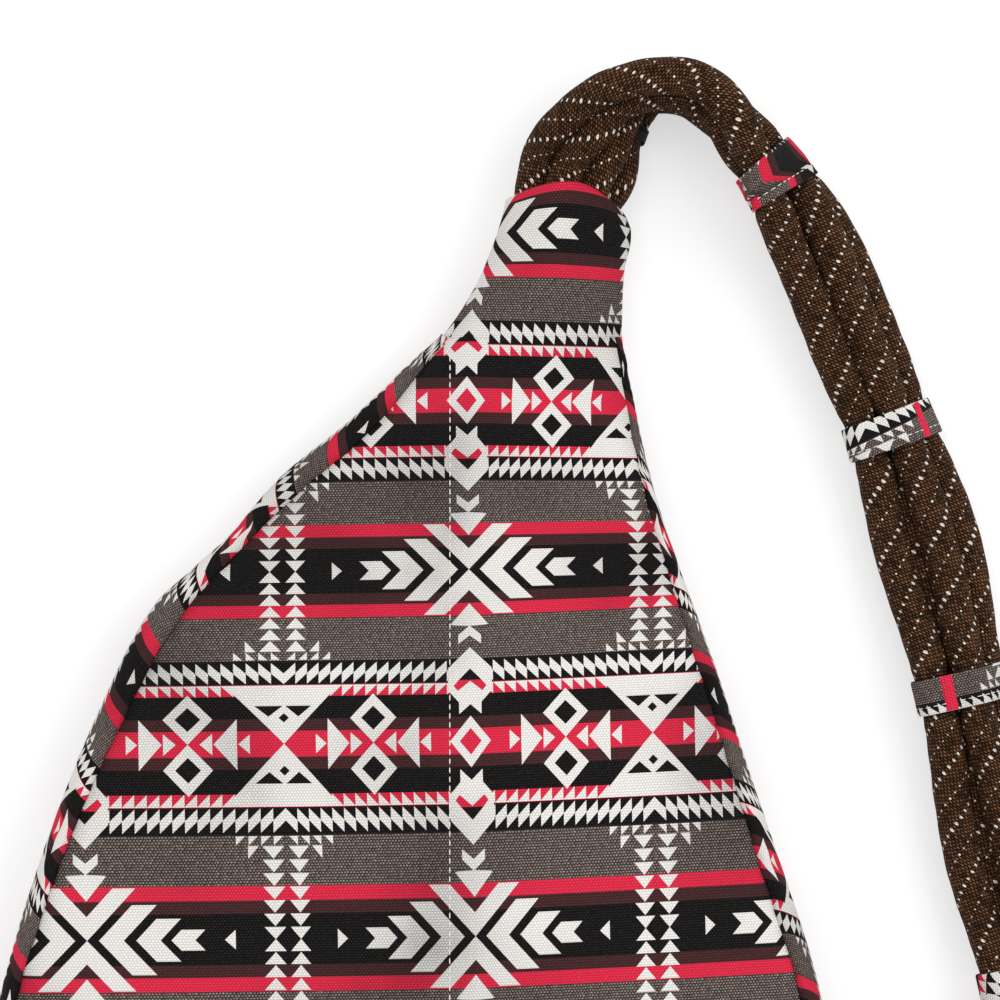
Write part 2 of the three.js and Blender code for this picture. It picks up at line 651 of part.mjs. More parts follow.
function zipPull() {
  const shape = new THREE.Shape([
    [0, 1.5], [-4, 1.5], [-6, 2.8], [-PULL_LENGTH + 2, 3], [-PULL_LENGTH, 1.8],
    [-PULL_LENGTH, -1.8], [-PULL_LENGTH + 2, -3], [-6, -2.8], [-4, -1.5], [0, -1.5],
  ].map(([x, y]) => new THREE.Vector2(x, y)));
  const hole = new THREE.Path().absellipse(-PULL_LENGTH + 5, 0, 2.2, 1.4, 0, 2 * Math.PI, true);
  shape.holes.push(hole);
  const plate = new THREE.ExtrudeGeometry(shape, { depth: PULL_PLATE, bevelEnabled: false, curveSegments: 10 });
  const eye = bar(EYE_RADIUS, 1.5, 0, pinHeight);
  const hollow = bar(PIN_RADIUS + SLIDE_CLEARANCE - 0.05, 4, 0, pinHeight);
  return toSolid(plate.translate(0, 0, pinHeight - PULL_PLATE / 2)).add(eye).subtract(hollow);
}

// Both stops sit across the tapes, just past the last teeth.
function zipStop(length, sign) {
  const x = sign * (length / 2 + STOP_LENGTH / 2);
  const low = TAPE_CLOTH / 2 + SEW_GAP;
  return block(x - STOP_LENGTH / 2, x + STOP_LENGTH / 2, -2.6, 2.6, low, low + 1.4);
}

function addZip(name, { length, matrix }) {
  const set = (suffix, solid, material, shift = 0) => {
    const geometry = toGeometry(solid).translate(shift, 0, 0).applyMatrix4(matrix);
    add(`${name}_${suffix}`, geometry, material);
  };
  const closedAt = length / 2 - SLIDER_LENGTH / 2 - SEW_GAP;
  set('tape_a', zipTape(length, 1), black);
  set('tape_b', zipTape(length, -1), black);
  set('foot_stop', zipStop(length, -1), metal);
  set('head_stop', zipStop(length, 1), metal);
  set('slider', zipSlider(), metal, closedAt);
  set('pull', zipPull(), metal, closedAt);
}

addZip('main_zip', mainZip);
addZip('pocket_zip', pocketZip);

// The frame's origin is on the floor under the middle of the bag without its strap.

const strapNames = /^(rope|strap)_/;
const bag = new THREE.Box3();
part.children.filter((mesh) => !strapNames.test(mesh.name)).forEach((mesh) => bag.expandByObject(mesh));
const middle = bag.getCenter(vec(0, 0, 0));
part.children.forEach((mesh) => mesh.geometry.translate(-middle.x, -middle.y, -bag.min.z));

export default part;
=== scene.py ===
from contextlib import contextmanager

import bmesh
import bpy
import numpy as np
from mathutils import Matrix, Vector


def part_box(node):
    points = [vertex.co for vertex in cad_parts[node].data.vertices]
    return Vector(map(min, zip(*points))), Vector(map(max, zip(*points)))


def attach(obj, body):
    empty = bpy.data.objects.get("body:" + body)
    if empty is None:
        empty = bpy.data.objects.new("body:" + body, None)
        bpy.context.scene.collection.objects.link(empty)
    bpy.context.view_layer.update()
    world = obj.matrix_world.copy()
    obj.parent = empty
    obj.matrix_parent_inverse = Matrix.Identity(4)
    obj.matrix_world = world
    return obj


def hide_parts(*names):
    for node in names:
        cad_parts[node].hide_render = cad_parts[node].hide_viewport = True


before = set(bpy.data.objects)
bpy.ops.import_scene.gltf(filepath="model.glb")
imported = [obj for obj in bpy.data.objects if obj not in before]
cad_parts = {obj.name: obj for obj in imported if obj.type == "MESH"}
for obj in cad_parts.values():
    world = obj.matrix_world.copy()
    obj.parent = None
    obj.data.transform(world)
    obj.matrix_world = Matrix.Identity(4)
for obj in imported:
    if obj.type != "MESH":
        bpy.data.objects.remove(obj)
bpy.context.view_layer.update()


# Printed canvas: heavy cotton in a plain weave, printed with rows of diamonds, arrows and saw teeth.
# Panels, bands and cuffs are cut from it, so each one's UV map is its place on the flat cloth, in metres.


def operator(name):
    """Method that adds a Math node on a Shade and another value."""
    return lambda self, other: self.math(name, self, other)


class Shade:
    """A value in a material: arithmetic on it adds Math nodes, and node() adds any other node."""

    def __init__(self, tree, socket=None):
        self.tree = tree
        self.socket = socket

    def node(self, kind, settings=(), sockets=(), out=0):
        """Adds a node, sets its settings, sets or links its sockets, and gives one of its outputs."""
        made = self.tree.nodes.new(kind)
        for key, value in dict(settings).items():
            if key == "stops":
                ramp = made.color_ramp
                ramp.interpolation = value[0]
                ramp.elements[1].position = value[1][-1][0]
                for place, _ in value[1][1:-1]:
                    ramp.elements.new(place)
                for element, (_, colour) in zip(ramp.elements, value[1]):
                    element.color = colour
            else:
                setattr(made, key, value)
        for key, value in dict(sockets).items():
            if isinstance(value, Shade):
                self.tree.links.new(value.socket, made.inputs[key])
            else:
                made.inputs[key].default_value = value
        return Shade(self.tree, made.outputs[out])

    def math(self, operation, *values):
        """A Math node on these values."""
        return self.node("ShaderNodeMath", {"operation": operation}, dict(enumerate(values)))

    def noise(self, place, scale, detail, dimensions="3D"):
        """Soft noise from 0 to 1 at a place."""
        sockets = {"Vector": place, "Scale": scale, "Detail": detail}
        return self.node("ShaderNodeTexNoise", {"noise_dimensions": dimensions}, sockets)

    def bump(self, strength, distance):
        """Normals of a surface that has this relief."""
        sockets = {"Strength": strength, "Distance": distance, "Height": self}
        return self.node("ShaderNodeBump", (), sockets)

    def place(self):
        """The point on the object, in metres."""
        return self.node("ShaderNodeTexCoord", (), (), 3)

    def parts(self):
        """The first two parts of this vector."""
        split = self.node("ShaderNodeSeparateXYZ", (), {0: self})
        return split, Shade(self.tree, split.socket.node.outputs[1])

    def over(self, colour, under):
        """The colour where this mask is 1, the one under it where it is 0."""
        return self.node("ShaderNodeMix", {"data_type": "RGBA"}, {0: self, 6: under, 7: colour}, 2)

    __add__ = __radd__ = operator("ADD")
    __mul__ = __rmul__ = __and__ = operator("MULTIPLY")
    __sub__ = operator("SUBTRACT")
    __rsub__ = lambda self, other: self.math("SUBTRACT", other, self)
    __truediv__ = operator("DIVIDE")
    __floordiv__ = lambda self, other: self.math("FLOOR", self / other)
    __mod__ = operator("FLOORED_MODULO")
    __pow__ = operator("POWER")
    __lt__ = operator("LESS_THAN")
    __gt__ = operator("GREATER_THAN")
    __or__ = operator("MAXIMUM")
    __abs__ = lambda self: self.math("ABSOLUTE", self)


def dye(*rgb):
    """Linear RGBA of a colour given as 8-bit red, green and blue."""
    c = np.array(rgb) / 255
    linear = np.where(c <= 0.04045, c / 12.92, ((c + 0.055) / 1.055) ** 2.4)
    return (*linear.tolist(), 1.0)


CREAM = dye(251, 248, 243)
CRIMSON = dye(234, 42, 74)
MAROON = dye(70, 36, 38)
BLACK = dye(9, 9, 10)
TAUPE = dye(62, 50, 46)
PRINT_UNIT = 0.00031
REPEAT = 372
TOOTH = REPEAT / 32
HALF_ROW = 170.5


def within(value, low, high):
    """1 between the two limits, 0 outside them."""
    return (value > low) & (value < high)


def stripe_print(u, v):
    """Colour of the print at cloth place u, v in print units, and where its plain taupe ground shows.
    Both fold into one quarter of the repeat: a runs from an arrow column to an hourglass column, b from a
    diamond row to an arrow row, c back from it."""
    a = abs((u + REPEAT / 2) % REPEAT - REPEAT / 2)
    b = abs((v + HALF_ROW) % (2 * HALF_ROW) - HALF_ROW)
    c = HALF_ROW - b
    bands = [(0, CRIMSON), (11.7, MAROON), (23.3, BLACK), (45, CRIMSON), (56, BLACK), (80.5, TAUPE)]
    bands += [(123.5, CRIMSON), (136, MAROON), (147.2, BLACK)]
    stops = [(place / HALF_ROW, colour) for place, colour in bands]
    ground = b.node("ShaderNodeValToRGB", {"stops": ("CONSTANT", stops)}, {"Fac": b / HALF_ROW})

    tooth = (a / TOOTH) % 1
    saw = within(b, 45, 56) & (tooth > (56 - b) / 11)
    saw |= within(b, 57.5, 68) & (tooth > (68 - b) / 10.5)
    saw |= within(b, 68, 78.5) & (tooth < (78.5 - b) / 10.5)

    spear = [(0, 0), (25.4, 0), (25.5, 11.3), (37, 11.3), (48.3, 22), (70.5, 22), (91.5, 0), (94.9, 0)]
    spear += [(95, 11.5), (104, 11.5), (113.5, 0), (114, 19.5), (136, 0)]
    stops = [(place / HALF_ROW, (half / 22, half / 22, half / 22, 1)) for place, half in spear]
    half = 22 * b.node("ShaderNodeValToRGB", {"stops": ("LINEAR", stops)}, {"Fac": b / HALF_ROW})
    notch = (b < 35.2 - 0.86 * a) | within(b, 92, 103.6 - 0.75 * a)
    white = saw | (a < half) & (1 - notch)
    white |= a / 20.5 + b / 24 < 1

    e = a - c
    for low, high, reach in ((-21, 0, 45.5), (11, 34, 31), (45.5, 68, 19), (78, 100, 9.3)):
        white |= within(e, low, high) & (c < reach)
    white |= within(a, 127, 137) & (c < 0.87 * (a - 127))

    d = abs(a - 97)
    pair = abs(b - 23.5)
    white |= d / 23 + pair / 23.4 < 1
    for low, high, slope in ((11, 22.7, 0.85), (24, 45.5, 1.1), (46.7, 57.3, 0.85)):
        white |= within(d, low, high) & (b < slope * (d - low))

    h = REPEAT / 2 - a
    white |= (h < 0.98 * b) & (b < 56)
    step = (c / TOOTH) % 1
    white |= (c < 7 * TOOTH) & (abs(h - 12.3) < 10.75 * step) & (step < 0.93)
    white |= within(c, 6 * TOOTH, 6.95 * TOOTH) & within(h, 35.6 - 10.5 * step, 35.6)
    white |= within(c, 7 * TOOTH, 89) & (h < 4 * TOOTH) & ((h / TOOTH) % 1 > 1 - 1.1 * step)

    red = a / 11 + b / 12.5 < 1
    chevron = within(a, 1.28 * (57.9 - b), 63.6 - 0.885 * b) & (a < 0.85 * b - 28.5)
    red |= within(b, 48.2, 58.9) & chevron
    dark = within(b, 58.9, 70.2) & (a < 1.02 * (70.2 - b))
    dark |= d / 12 + pair / 11.5 < 1
    dark |= within(b, 25.6 + 0.8 * abs(h - 14.3), 36)
    dark |= h / 5 + abs(b - 24.5) / 4.5 < 1
    plain = within(b, 80.5, 123.5) & (1 - white)
    return dark.over(BLACK, red.over(CRIMSON, white.over(CREAM, ground))), plain


def start_material(name):
    """A new material with one Principled shader, and a Shade that its nodes grow from."""
    material = bpy.data.materials.new(name)
    material.use_nodes = True
    return material, Shade(material.node_tree)


def finish_material(material, roughness, specular, colour, normal=None, more=()):
    """Sets the shader's plain numbers and links the values that vary over the surface."""
    shader = material.node_tree.nodes["Principled BSDF"]
    values = {
        "Roughness": roughness, "Specular IOR Level": specular, "Base Color": colour, "Normal": normal,
        **dict(more),
    }
    for socket, value in values.items():
        if isinstance(value, Shade):
            material.node_tree.links.new(value.socket, shader.inputs[socket])
        elif value is not None:
            shader.inputs[socket].default_value = value


def cloth_place(start, scale):
    """The piece's UV map as two numbers in multiples of a length, and as it is."""
    uv = start.node("ShaderNodeUVMap", {"uv_map": "cloth"})
    u, v = uv.parts()
    return u / scale, v / scale, uv


def plain_weave(u, v, wide, tall):
    """Height of a plain weave from 0 to 1: rows of rounded yarn crossings, each row half a crossing on."""
    across = (u / wide + 0.5 * (v // tall)) % 1
    along = (v / tall) % 1
    return 16 * across * (1 - across) * along * (1 - along)


canvas, start = start_material("printed_canvas")
u, v, cloth_uv = cloth_place(start, PRINT_UNIT)
slub = start.noise(cloth_uv, 700, 2, "2D")
# Broad soft noise that places the painted fold shade below.
fold_shade_noise = start.noise(cloth_uv, 16, 3, "2D")
crossing = plain_weave(u + 2.2 * slub, v + 1.1 * slub, 3.1, 2.4)
printed, plain = stripe_print(u, v)
# Pale specks on the yarn tops: partly the pale yarn showing through the print, partly painted highlight.
specks_and_highlights = crossing**2 * (0.05 + 0.65 * plain) * (0.1 + 1.6 * slub)
# Painted shade: darker in the weave's gaps between the yarns, and in broad soft patches where folds would
# shade the cloth.
painted_shade = (1 - crossing) * 0.4 + 1.6 * (fold_shade_noise - 0.28) ** 2
shaded_print = painted_shade.over(dye(16, 14, 14), specks_and_highlights.over(dye(186, 172, 165), printed))
finish_material(canvas, 0.92, 0.1, shaded_print, (crossing + 0.5 * slub).bump(0.5, 0.0003))


# Back panel: canvas over a foam pad, crowned between its seams and rolled down into them, with small
# puckers where the sewing gathers it. A row of thread runs down it from the neck.


def smooth_through(x, y):
    """Function of x through points: a cubic on each span, with its neighbours' slope at each point."""
    x, y = np.array(x, float), np.array(y, float)
    before, after = np.maximum(np.arange(len(x)) - 1, 0), np.minimum(np.arange(len(x)) + 1, len(x) - 1)
    slope = (y[after] - y[before]) / (x[after] - x[before])

    def curve(at):
        i = np.clip(np.searchsorted(x, at, side="right") - 1, 0, len(x) - 2)
        w = x[i + 1] - x[i]
        t = np.clip((at - x[i]) / w, 0, 1)
        s = t * t * (3 - 2 * t)
        return y[i] + (y[i + 1] - y[i]) * s + w * t * (1 - t) * ((1 - t) * slope[i] - t * slope[i + 1])

    return curve


SEW_GAP, SEAM_REACH = 0.0003, 0.006
CANVAS, FRONT_CLOTH, GUSSET_CLOTH = 0.0024, 0.0020, 0.0012
BACK_ROLL, GUSSET_ROLL, FRONT_ROLL = 0.0036, 0.0012, 0.0016
BACK_PUCKER, GUSSET_PUCKER = 0.0006, 0.0007
WAVE, SMALL_WAVE = 0.0015, 0.0007
CORNER_RADIUS = 0.075
BACK_SEAM, NECK_BACK_SEAM, FRONT_SEAM = 0.034, 0.021, 0.012
BACK_CROWN, NECK_CROWN, CROWN_POWER = 0.010, 0.007, 2.4
NECK_START, WAVE_REACH = 0.62, 0.03
low, high = np.array(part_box("back_panel"))
foot_y = low[1] - SEW_GAP
middle_x = (low[0] + high[0]) / 2
body_width = high[0] - low[0] + 2 * SEW_GAP
body_height = high[1] - foot_y
SEAMS = np.array([
    [0, -0.5, 0.5],
    [0.3, -0.5, 0.5],
    [0.45, -0.49, 0.494],
    [0.556, -0.452, 0.472],
    [0.656, -0.394, 0.418],
    [0.743, -0.327, 0.372],
    [0.817, -0.253, 0.331],
    [0.89, -0.132, 0.292],
    [0.937, -0.037, 0.274],
    [1, 0.054, 0.255],
])
seam_left = smooth_through(SEAMS[:, 0] * body_height, SEAMS[:, 1] * body_width)
seam_right = smooth_through(SEAMS[:, 0] * body_height, SEAMS[:, 2] * body_width)


def corner_inset(y):
    """How far the round lower corners draw the side seams in at height y above the bottom seam."""
    short = np.maximum(CORNER_RADIUS - y, 0)
    return CORNER_RADIUS - np.sqrt(CORNER_RADIUS**2 - short**2)


def left_at(y):
    """x of the left seam at height y."""
    return seam_left(y) + corner_inset(y)


def right_at(y):
    """x of the right seam at height y."""
    return seam_right(y) - corner_inset(y)


def eased(x, low, high):
    """0 below low, 1 above high, and a smooth step between them."""
    t = np.clip((x - low) / (high - low), 0, 1)
    return t * t * (3 - 2 * t)


def neckward(y):
    """0 on the body and 1 at the neck."""
    return eased(y, NECK_START * body_height, body_height)


def back_seam(y):
    """Height of the back seam above the floor."""
    return BACK_SEAM + (NECK_BACK_SEAM - BACK_SEAM) * neckward(y)


def near_seam(distance):
    """1 at a seam, falling to 0 where the cloth's roll into the seam ends."""
    return (1 - np.clip(distance / SEAM_REACH, 0, 1)) ** 2


def ripple(s, wave, seed):
    """Uneven waves along a length s, about one in each wave length, between -1 and 1."""
    t = 2 * np.pi * s / wave
    return 0.6 * np.sin(t + 1.7 * np.sin(0.31 * t + seed) + seed) + 0.4 * np.sin(0.57 * t + 2.3 * seed)


def back_height(x, y):
    """Height of the back panel: crown times the rise between its seams, less the roll into the seams,
    with puckers that fade away from the seams and slow waves all over."""
    width = right_at(y) - left_at(y)
    share = np.clip((x - left_at(y)) / width, 0, 1)
    foot = np.minimum(y / (0.8 * CORNER_RADIUS), 1)
    rise = (1 - np.abs(2 * share - 1) ** CROWN_POWER) * (1 - (1 - foot) ** CROWN_POWER)
    crown = BACK_CROWN + (NECK_CROWN - BACK_CROWN) * neckward(y)
    reach = np.minimum(np.minimum(share, 1 - share) * width, y)
    pucker = BACK_PUCKER * ripple(y + 0.4 * x, 0.013, 1.0) * np.exp(-reach / 0.008) * (reach > 0)
    waves = WAVE * ripple(y + 0.5 * x, 0.075, 2.0) * ripple(x - 0.3 * y, 0.09, 3.0)
    waves = waves + SMALL_WAVE * ripple(y - 0.2 * x, 0.031, 6.0) * ripple(x + 0.1 * y, 0.06, 7.0)
    relief = pucker + waves * np.minimum(reach / WAVE_REACH, 1)
    return back_seam(y) + crown * rise - BACK_ROLL * near_seam(reach) + relief


PHOTO_CENTRE = np.array([0.032, 0.1623])
PRINT_ROWS_SEEN = [-114, 57, 229, 400, 569, 740, 934, 1121, 1306, 1491, 1676, 1861]


def print_place(x, y):
    """Place on the flat cloth of a point of the laid bag, worked out in the photograph's pixels: columns
    run up the bag, lean a little, close up to the right of the neck and open to the left; rows are spaced
    as they are seen and rise to the right."""
    across = (x - PHOTO_CENTRE[0]) / PRINT_UNIT + 500
    down = 500 - (y - PHOTO_CENTRE[1]) / PRINT_UNIT
    column = np.interp(down, [180, 400, 568, 741, 940], [467, 467, 469, 471, 476])
    rows = HALF_ROW * (np.arange(len(PRINT_ROWS_SEEN)) - 3)
    right_rise = np.interp(down, [250, 450, 530, 610], [-0.03, -0.015, 0.015, 0.044])
    rise = np.where(across < 470, 0.015, right_rise)
    row = smooth_through(PRINT_ROWS_SEEN, rows)(down + rise * (across - 470))
    away = across - column
    drawn_in = np.interp(down, [300, 400, 440, 530], [0, 0.15, 0.15, 0.025])
    away = away + drawn_in * np.maximum(away, 0) + 0.08 * np.maximum(285 - across, 0)
    return np.stack([away, row], -1) * PRINT_UNIT


def placed(name, data):
    """Puts a mesh, a lamp or a camera into the scene as an object."""
    made = bpy.data.objects.new(name, data)
    bpy.context.scene.collection.objects.link(made)
    return made


def grid_faces(rows, columns, around, ring):
    """Corners of a grid's faces, as rows and columns and as point numbers. around joins the last column
    to the first, ring the last row to the first."""
    row, column = np.arange(rows + ring - 1)[:, None], np.arange(columns + around - 1)[None, :]
    corners = [(row, column), (row, column + 1), (row + 1, column + 1), (row + 1, column)]
    numbers = np.stack([(r % rows) * columns + c % columns for r, c in corners], -1)
    return corners, numbers.reshape(-1, 4)


def surface(name, points, cloth, material, around=False, ring=False):
    """Mesh object of a grid of points. cloth, one longer along a joined side, is each corner's place on
    the flat cloth."""
    corners, faces = grid_faces(*points.shape[:2], around, ring)
    mesh = bpy.data.meshes.new(name)
    mesh.from_pydata(points.reshape(-1, 3).tolist(), [], faces.tolist())
    place = np.stack([cloth[r, c] for r, c in corners], -2)
    mesh.uv_layers.new(name="cloth").data.foreach_set("uv", place.astype(np.float32).ravel())
    mesh.shade_smooth()
    mesh.materials.append(material)
    return placed(name, mesh)


def dress(piece, node=None):
    """Fixes a piece to the bag, and lets it stand for a node."""
    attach(piece, "bag")
    if node:
        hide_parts(node)


def thicken(piece, thickness):
    """Gives a cloth surface its thickness, inwards from the face that shows."""
    solidify = piece.modifiers.new("thickness", "SOLIDIFY")
    solidify.thickness = thickness
    solidify.offset = -1


@contextmanager
def opened(mesh):
    """A mesh opened for changes, which are written back to it."""
    edit = bmesh.new()
    edit.from_mesh(mesh)
    yield edit
    edit.to_mesh(mesh)
    edit.free()


def merged(name, grids, material):
    """One mesh object from many grids of the same size, each closed round its columns and at its poles."""
    count, rows, columns = grids.shape[:3]
    _, faces = grid_faces(rows, columns, True, False)
    faces = faces + np.arange(count)[:, None, None] * rows * columns
    mesh = bpy.data.meshes.new(name)
    mesh.from_pydata(grids.reshape(-1, 3).tolist(), [], faces.reshape(-1, 4).tolist())
    with opened(mesh) as shell:
        bmesh.ops.remove_doubles(shell, verts=shell.verts, dist=1e-7)
        bmesh.ops.recalc_face_normals(shell, faces=shell.faces)
    mesh.shade_smooth()
    mesh.materials.append(material)
    return placed(name, mesh)


def unit(directions):
    """Directions scaled to length 1."""
    return directions / np.linalg.norm(directions, axis=-1, keepdims=True)


def run_along(points):
    """Distance of each point from the first, along the line of points."""
    return np.concatenate([[0], np.cumsum(np.linalg.norm(np.diff(points, axis=0), axis=1))])


def between(at, s, points):
    """Points at distances along a line of points whose own distances are s."""
    return np.stack([np.interp(at, s, points[:, k]) for k in range(points.shape[1])], -1)


def looped(ring):
    """A ring of points with its first point again at its end."""
    return np.vstack([ring, ring[:1]])


def grid_of(*parts):
    """Points or places from their parts, each repeated to the shape of them all."""
    return np.stack(np.broadcast_arrays(*parts), -1)


def turns(count):
    """Angles at even steps round a circle."""
    return np.linspace(0, 2 * np.pi, count, endpoint=False)


def spokes(turn, side, up):
    """Directions at turns from side to up, for each pair of them."""
    return np.cos(turn)[:, None] * side[..., None, :] + np.sin(turn)[:, None] * up[..., None, :]


def laid(x, y, z):
    """Points in the frame from places on the body, measured from the middle of its bottom seam."""
    return grid_of(x + middle_x, y + foot_y, z)


def stitched(name, rows, material, radius=0.0002):
    """Rows of sewing along lines on the cloth, each given as points and the cloth's outward directions
    there: every stitch is a thread, thin at both ends, where it dips into the cloth."""
    length, pitch = 0.0021, 0.0028
    t = np.linspace(-1, 1, 9)
    grids = []
    for points, out in rows:
        s = run_along(points)
        at = (np.arange(int(s[-1] / pitch)) + 0.5)[:, None] * pitch + t * length / 2
        centre, up = between(at, s, points), between(at, s, out)
        side = unit(np.cross(np.gradient(centre, axis=1), up))
        thick = (radius * np.sqrt(1 - t**2))[:, None, None]
        lift = (radius * (0.8 - 1.3 * t**2))[:, None]
        grids.append((centre + lift * up)[:, :, None] + thick * spokes(turns(8), side, up))
    dress(merged(name, np.concatenate(grids), material))


turn = np.linspace(0, np.pi / 2, 40)
straight_rows = np.linspace(CORNER_RADIUS, body_height, 230)
body_rows = np.concatenate([CORNER_RADIUS * (1 - np.cos(turn)), straight_rows[1:]])
across = 0.5 - 0.5 * np.cos(np.pi * np.linspace(0, 1, 150))
across = 0.4 * across + 0.6 * np.linspace(0, 1, 150)
y = body_rows[:, None]
x = left_at(y) + SEW_GAP + across * (right_at(y) - left_at(y) - 2 * SEW_GAP)
points = laid(x, y, back_height(x, y))
back_panel = surface("back_panel_canvas", points, print_place(points[..., 0], points[..., 1]), canvas)
thicken(back_panel, CANVAS)
dress(back_panel, "back_panel")

thread, start = start_material("cream_thread")
ply = start.noise(start.place(), 3000, 2)
finish_material(thread, 0.7, 0.3, ply.over(dye(250, 248, 242), dye(214, 210, 200)), ply.bump(0.4, 0.0001))


def over_back(x, y):
    """Points of a line over the back panel and its outward directions, from the panel's slopes."""
    step = 0.0005
    z = back_height(x, y)
    slope_x = (back_height(x + step, y) - z) / step
    slope_y = (back_height(x, y + step) - z) / step
    return laid(x, y, z), unit(grid_of(-slope_x, -slope_y, 1))


THREAD_X, THREAD_TOP, THREAD_FOOT = 0.0155, 0.4575, 0.03
y = np.linspace(THREAD_TOP, THREAD_FOOT, 400)
stitched("back_panel_stitches", [over_back(THREAD_X, y)], thread)


# Gussets: three canvas strips sewn between the two panels, rounded out by what the bag holds. They are
# cut a little off the print's rows, so the stripes cross them at a slant.

GUSSET_COLUMN, GUSSET_SLANT, LEFT_ARROWS, RIGHT_ARROWS = 118, 0.36, 0.354, 0.353
GUSSET_ROUND, GUSSET_TUCK, FOOT_BULGE = 0.013, 0.0034, 0.006
LEFT_BULGE = smooth_through(
    [0, 0.2, 0.257, 0.288, 0.319, 0.344, 0.375, 0.387, 0.398, 0.411, 0.425, 0.437, 0.449, 0.463],
    np.array([6, 5, 5, 5.8, 6.8, 7.8, 8.6, 6.4, 5.2, 7, 7, 6.2, 4.6, 1.8]) / 1000,
)
RIGHT_BULGE = smooth_through(
    [0, 0.2, 0.27, 0.3, 0.33, 0.36, 0.40, 0.463],
    np.array([6, 6, 6, 6, 5, 4.6, 3, 1.5]) / 1000,
)


def rim(rows, x_at, bulge):
    """Points of one side of the body's outline: x, y and how far the gusset bulges there."""
    return grid_of(x_at(rows), rows, bulge(rows))


side_rows = body_rows[body_rows >= CORNER_RADIUS]
corner_rows = body_rows[body_rows <= CORNER_RADIUS]
flat_foot = np.linspace(left_at(np.zeros(1))[0], right_at(np.zeros(1))[0], 90)[1:-1]
outline = np.concatenate([
    rim(side_rows[::-1], left_at, LEFT_BULGE),
    rim(corner_rows[::-1], left_at, LEFT_BULGE)[1:],
    grid_of(flat_foot, 0, FOOT_BULGE),
    rim(corner_rows, right_at, RIGHT_BULGE),
    rim(side_rows, right_at, RIGHT_BULGE)[1:],
])
travel = np.gradient(outline[:, :2], axis=0)
outward = unit(np.stack([travel[:, 1], -travel[:, 0]], -1))
along_rim = run_along(outline[:, :2])


def gusset(node, first, last, mark):
    """One strip of the outline: half an ellipse between the seams, drawn into the seams at both edges,
    with puckers along them. A row of arrows crosses it at the mark, a distance along the outline."""
    part = slice(first, last + 1)
    at, way, s = outline[part], outward[part], along_rim[part]
    angle = np.linspace(np.pi / 2, -np.pi / 2, 25)
    top = back_seam(at[:, 1])[:, None]
    half = (top - FRONT_SEAM) / 2
    arc = (np.pi / 2 - np.abs(angle)) * half
    pucker = GUSSET_PUCKER * ripple(s[:, None] + 0.3 * angle * half, 0.012, 4.0)
    pucker = pucker * np.exp(-arc / SEAM_REACH) * (arc > 0)
    reach = at[:, 2:3] * np.cos(angle) - GUSSET_ROLL * near_seam(arc) + pucker
    x = at[:, 0:1] + reach * way[:, 0:1]
    y = at[:, 1:2] + reach * way[:, 1:2]
    z = (top + FRONT_SEAM) / 2 + (half - GUSSET_TUCK * np.exp(-arc / 0.003)) * np.sin(angle)
    points = laid(x, y, z)
    girth = (angle[0] - angle) * GUSSET_ROUND
    row = HALF_ROW * PRINT_UNIT - mark + s[:, None] + GUSSET_SLANT * girth
    cloth = grid_of(GUSSET_COLUMN * PRINT_UNIT + girth, row)
    piece = surface(node + "_canvas", points, cloth, canvas)
    thicken(piece, GUSSET_CLOTH)
    dress(piece, node)


left_last = len(side_rows) - 1
right_first = len(outline) - len(side_rows)
left_mark = np.interp(LEFT_ARROWS, outline[left_last::-1, 1], along_rim[left_last::-1])
right_mark = np.interp(RIGHT_ARROWS, outline[right_first:, 1], along_rim[right_first:])
gusset("gusset_left", 0, left_last, left_mark)
gusset("gusset_bottom", left_last, right_first, left_mark)
gusset("gusset_right", right_first, len(outline) - 1, right_mark)


# Front panel: the canvas side that the bag lies on, flat in the middle and sloped up to the seams, with
# a turned-in window along each zip.

FLAT_END, NECK_RISE, FRONT_RAMP = 0.240, 0.045, 0.028
ZIP_STRIP, STOP_LENGTH, ZIP_LEAN = 0.012, 0.003, np.tan(np.radians(10))
ZIP_INSET, ZIP_LIFTS, ZIP_EDGE = 0.020, [0.005, 0.0029], 0.002
WINDOW_HALF, WINDOW_END, HEM = 0.0052, 0.004, 0.0022
POCKET_ZIP_HEIGHT, POCKET_TOP, POCKET_MARGIN = 0.300, 0.3175, 0.012


def floor_at(y):
    """How far the front panel is off the floor: level, then rising to the neck."""
    return np.maximum(y - FLAT_END, 0) * NECK_RISE


zip_y = np.array([0.281, 0.881]) * body_height
main_ends = np.stack([right_at(zip_y) - ZIP_INSET, zip_y, floor_at(zip_y) + ZIP_LIFTS], -1)


def on_main_zip(y):
    """x and height of the main zip's line at height y, which runs on past its ends."""
    t = (y - zip_y[0]) / (zip_y[1] - zip_y[0])
    line = main_ends[0] + t[..., None] * (main_ends[1] - main_ends[0])
    return line[..., 0], line[..., 2]


pocket_top = np.array([POCKET_TOP])
pocket_left = left_at(pocket_top)[0] + FRONT_RAMP + POCKET_MARGIN
pocket_right = on_main_zip(pocket_top)[0][0] - 1.6 * ZIP_STRIP - POCKET_MARGIN
pocket_ends = grid_of([pocket_left, pocket_right], POCKET_ZIP_HEIGHT, floor_at(POCKET_ZIP_HEIGHT))


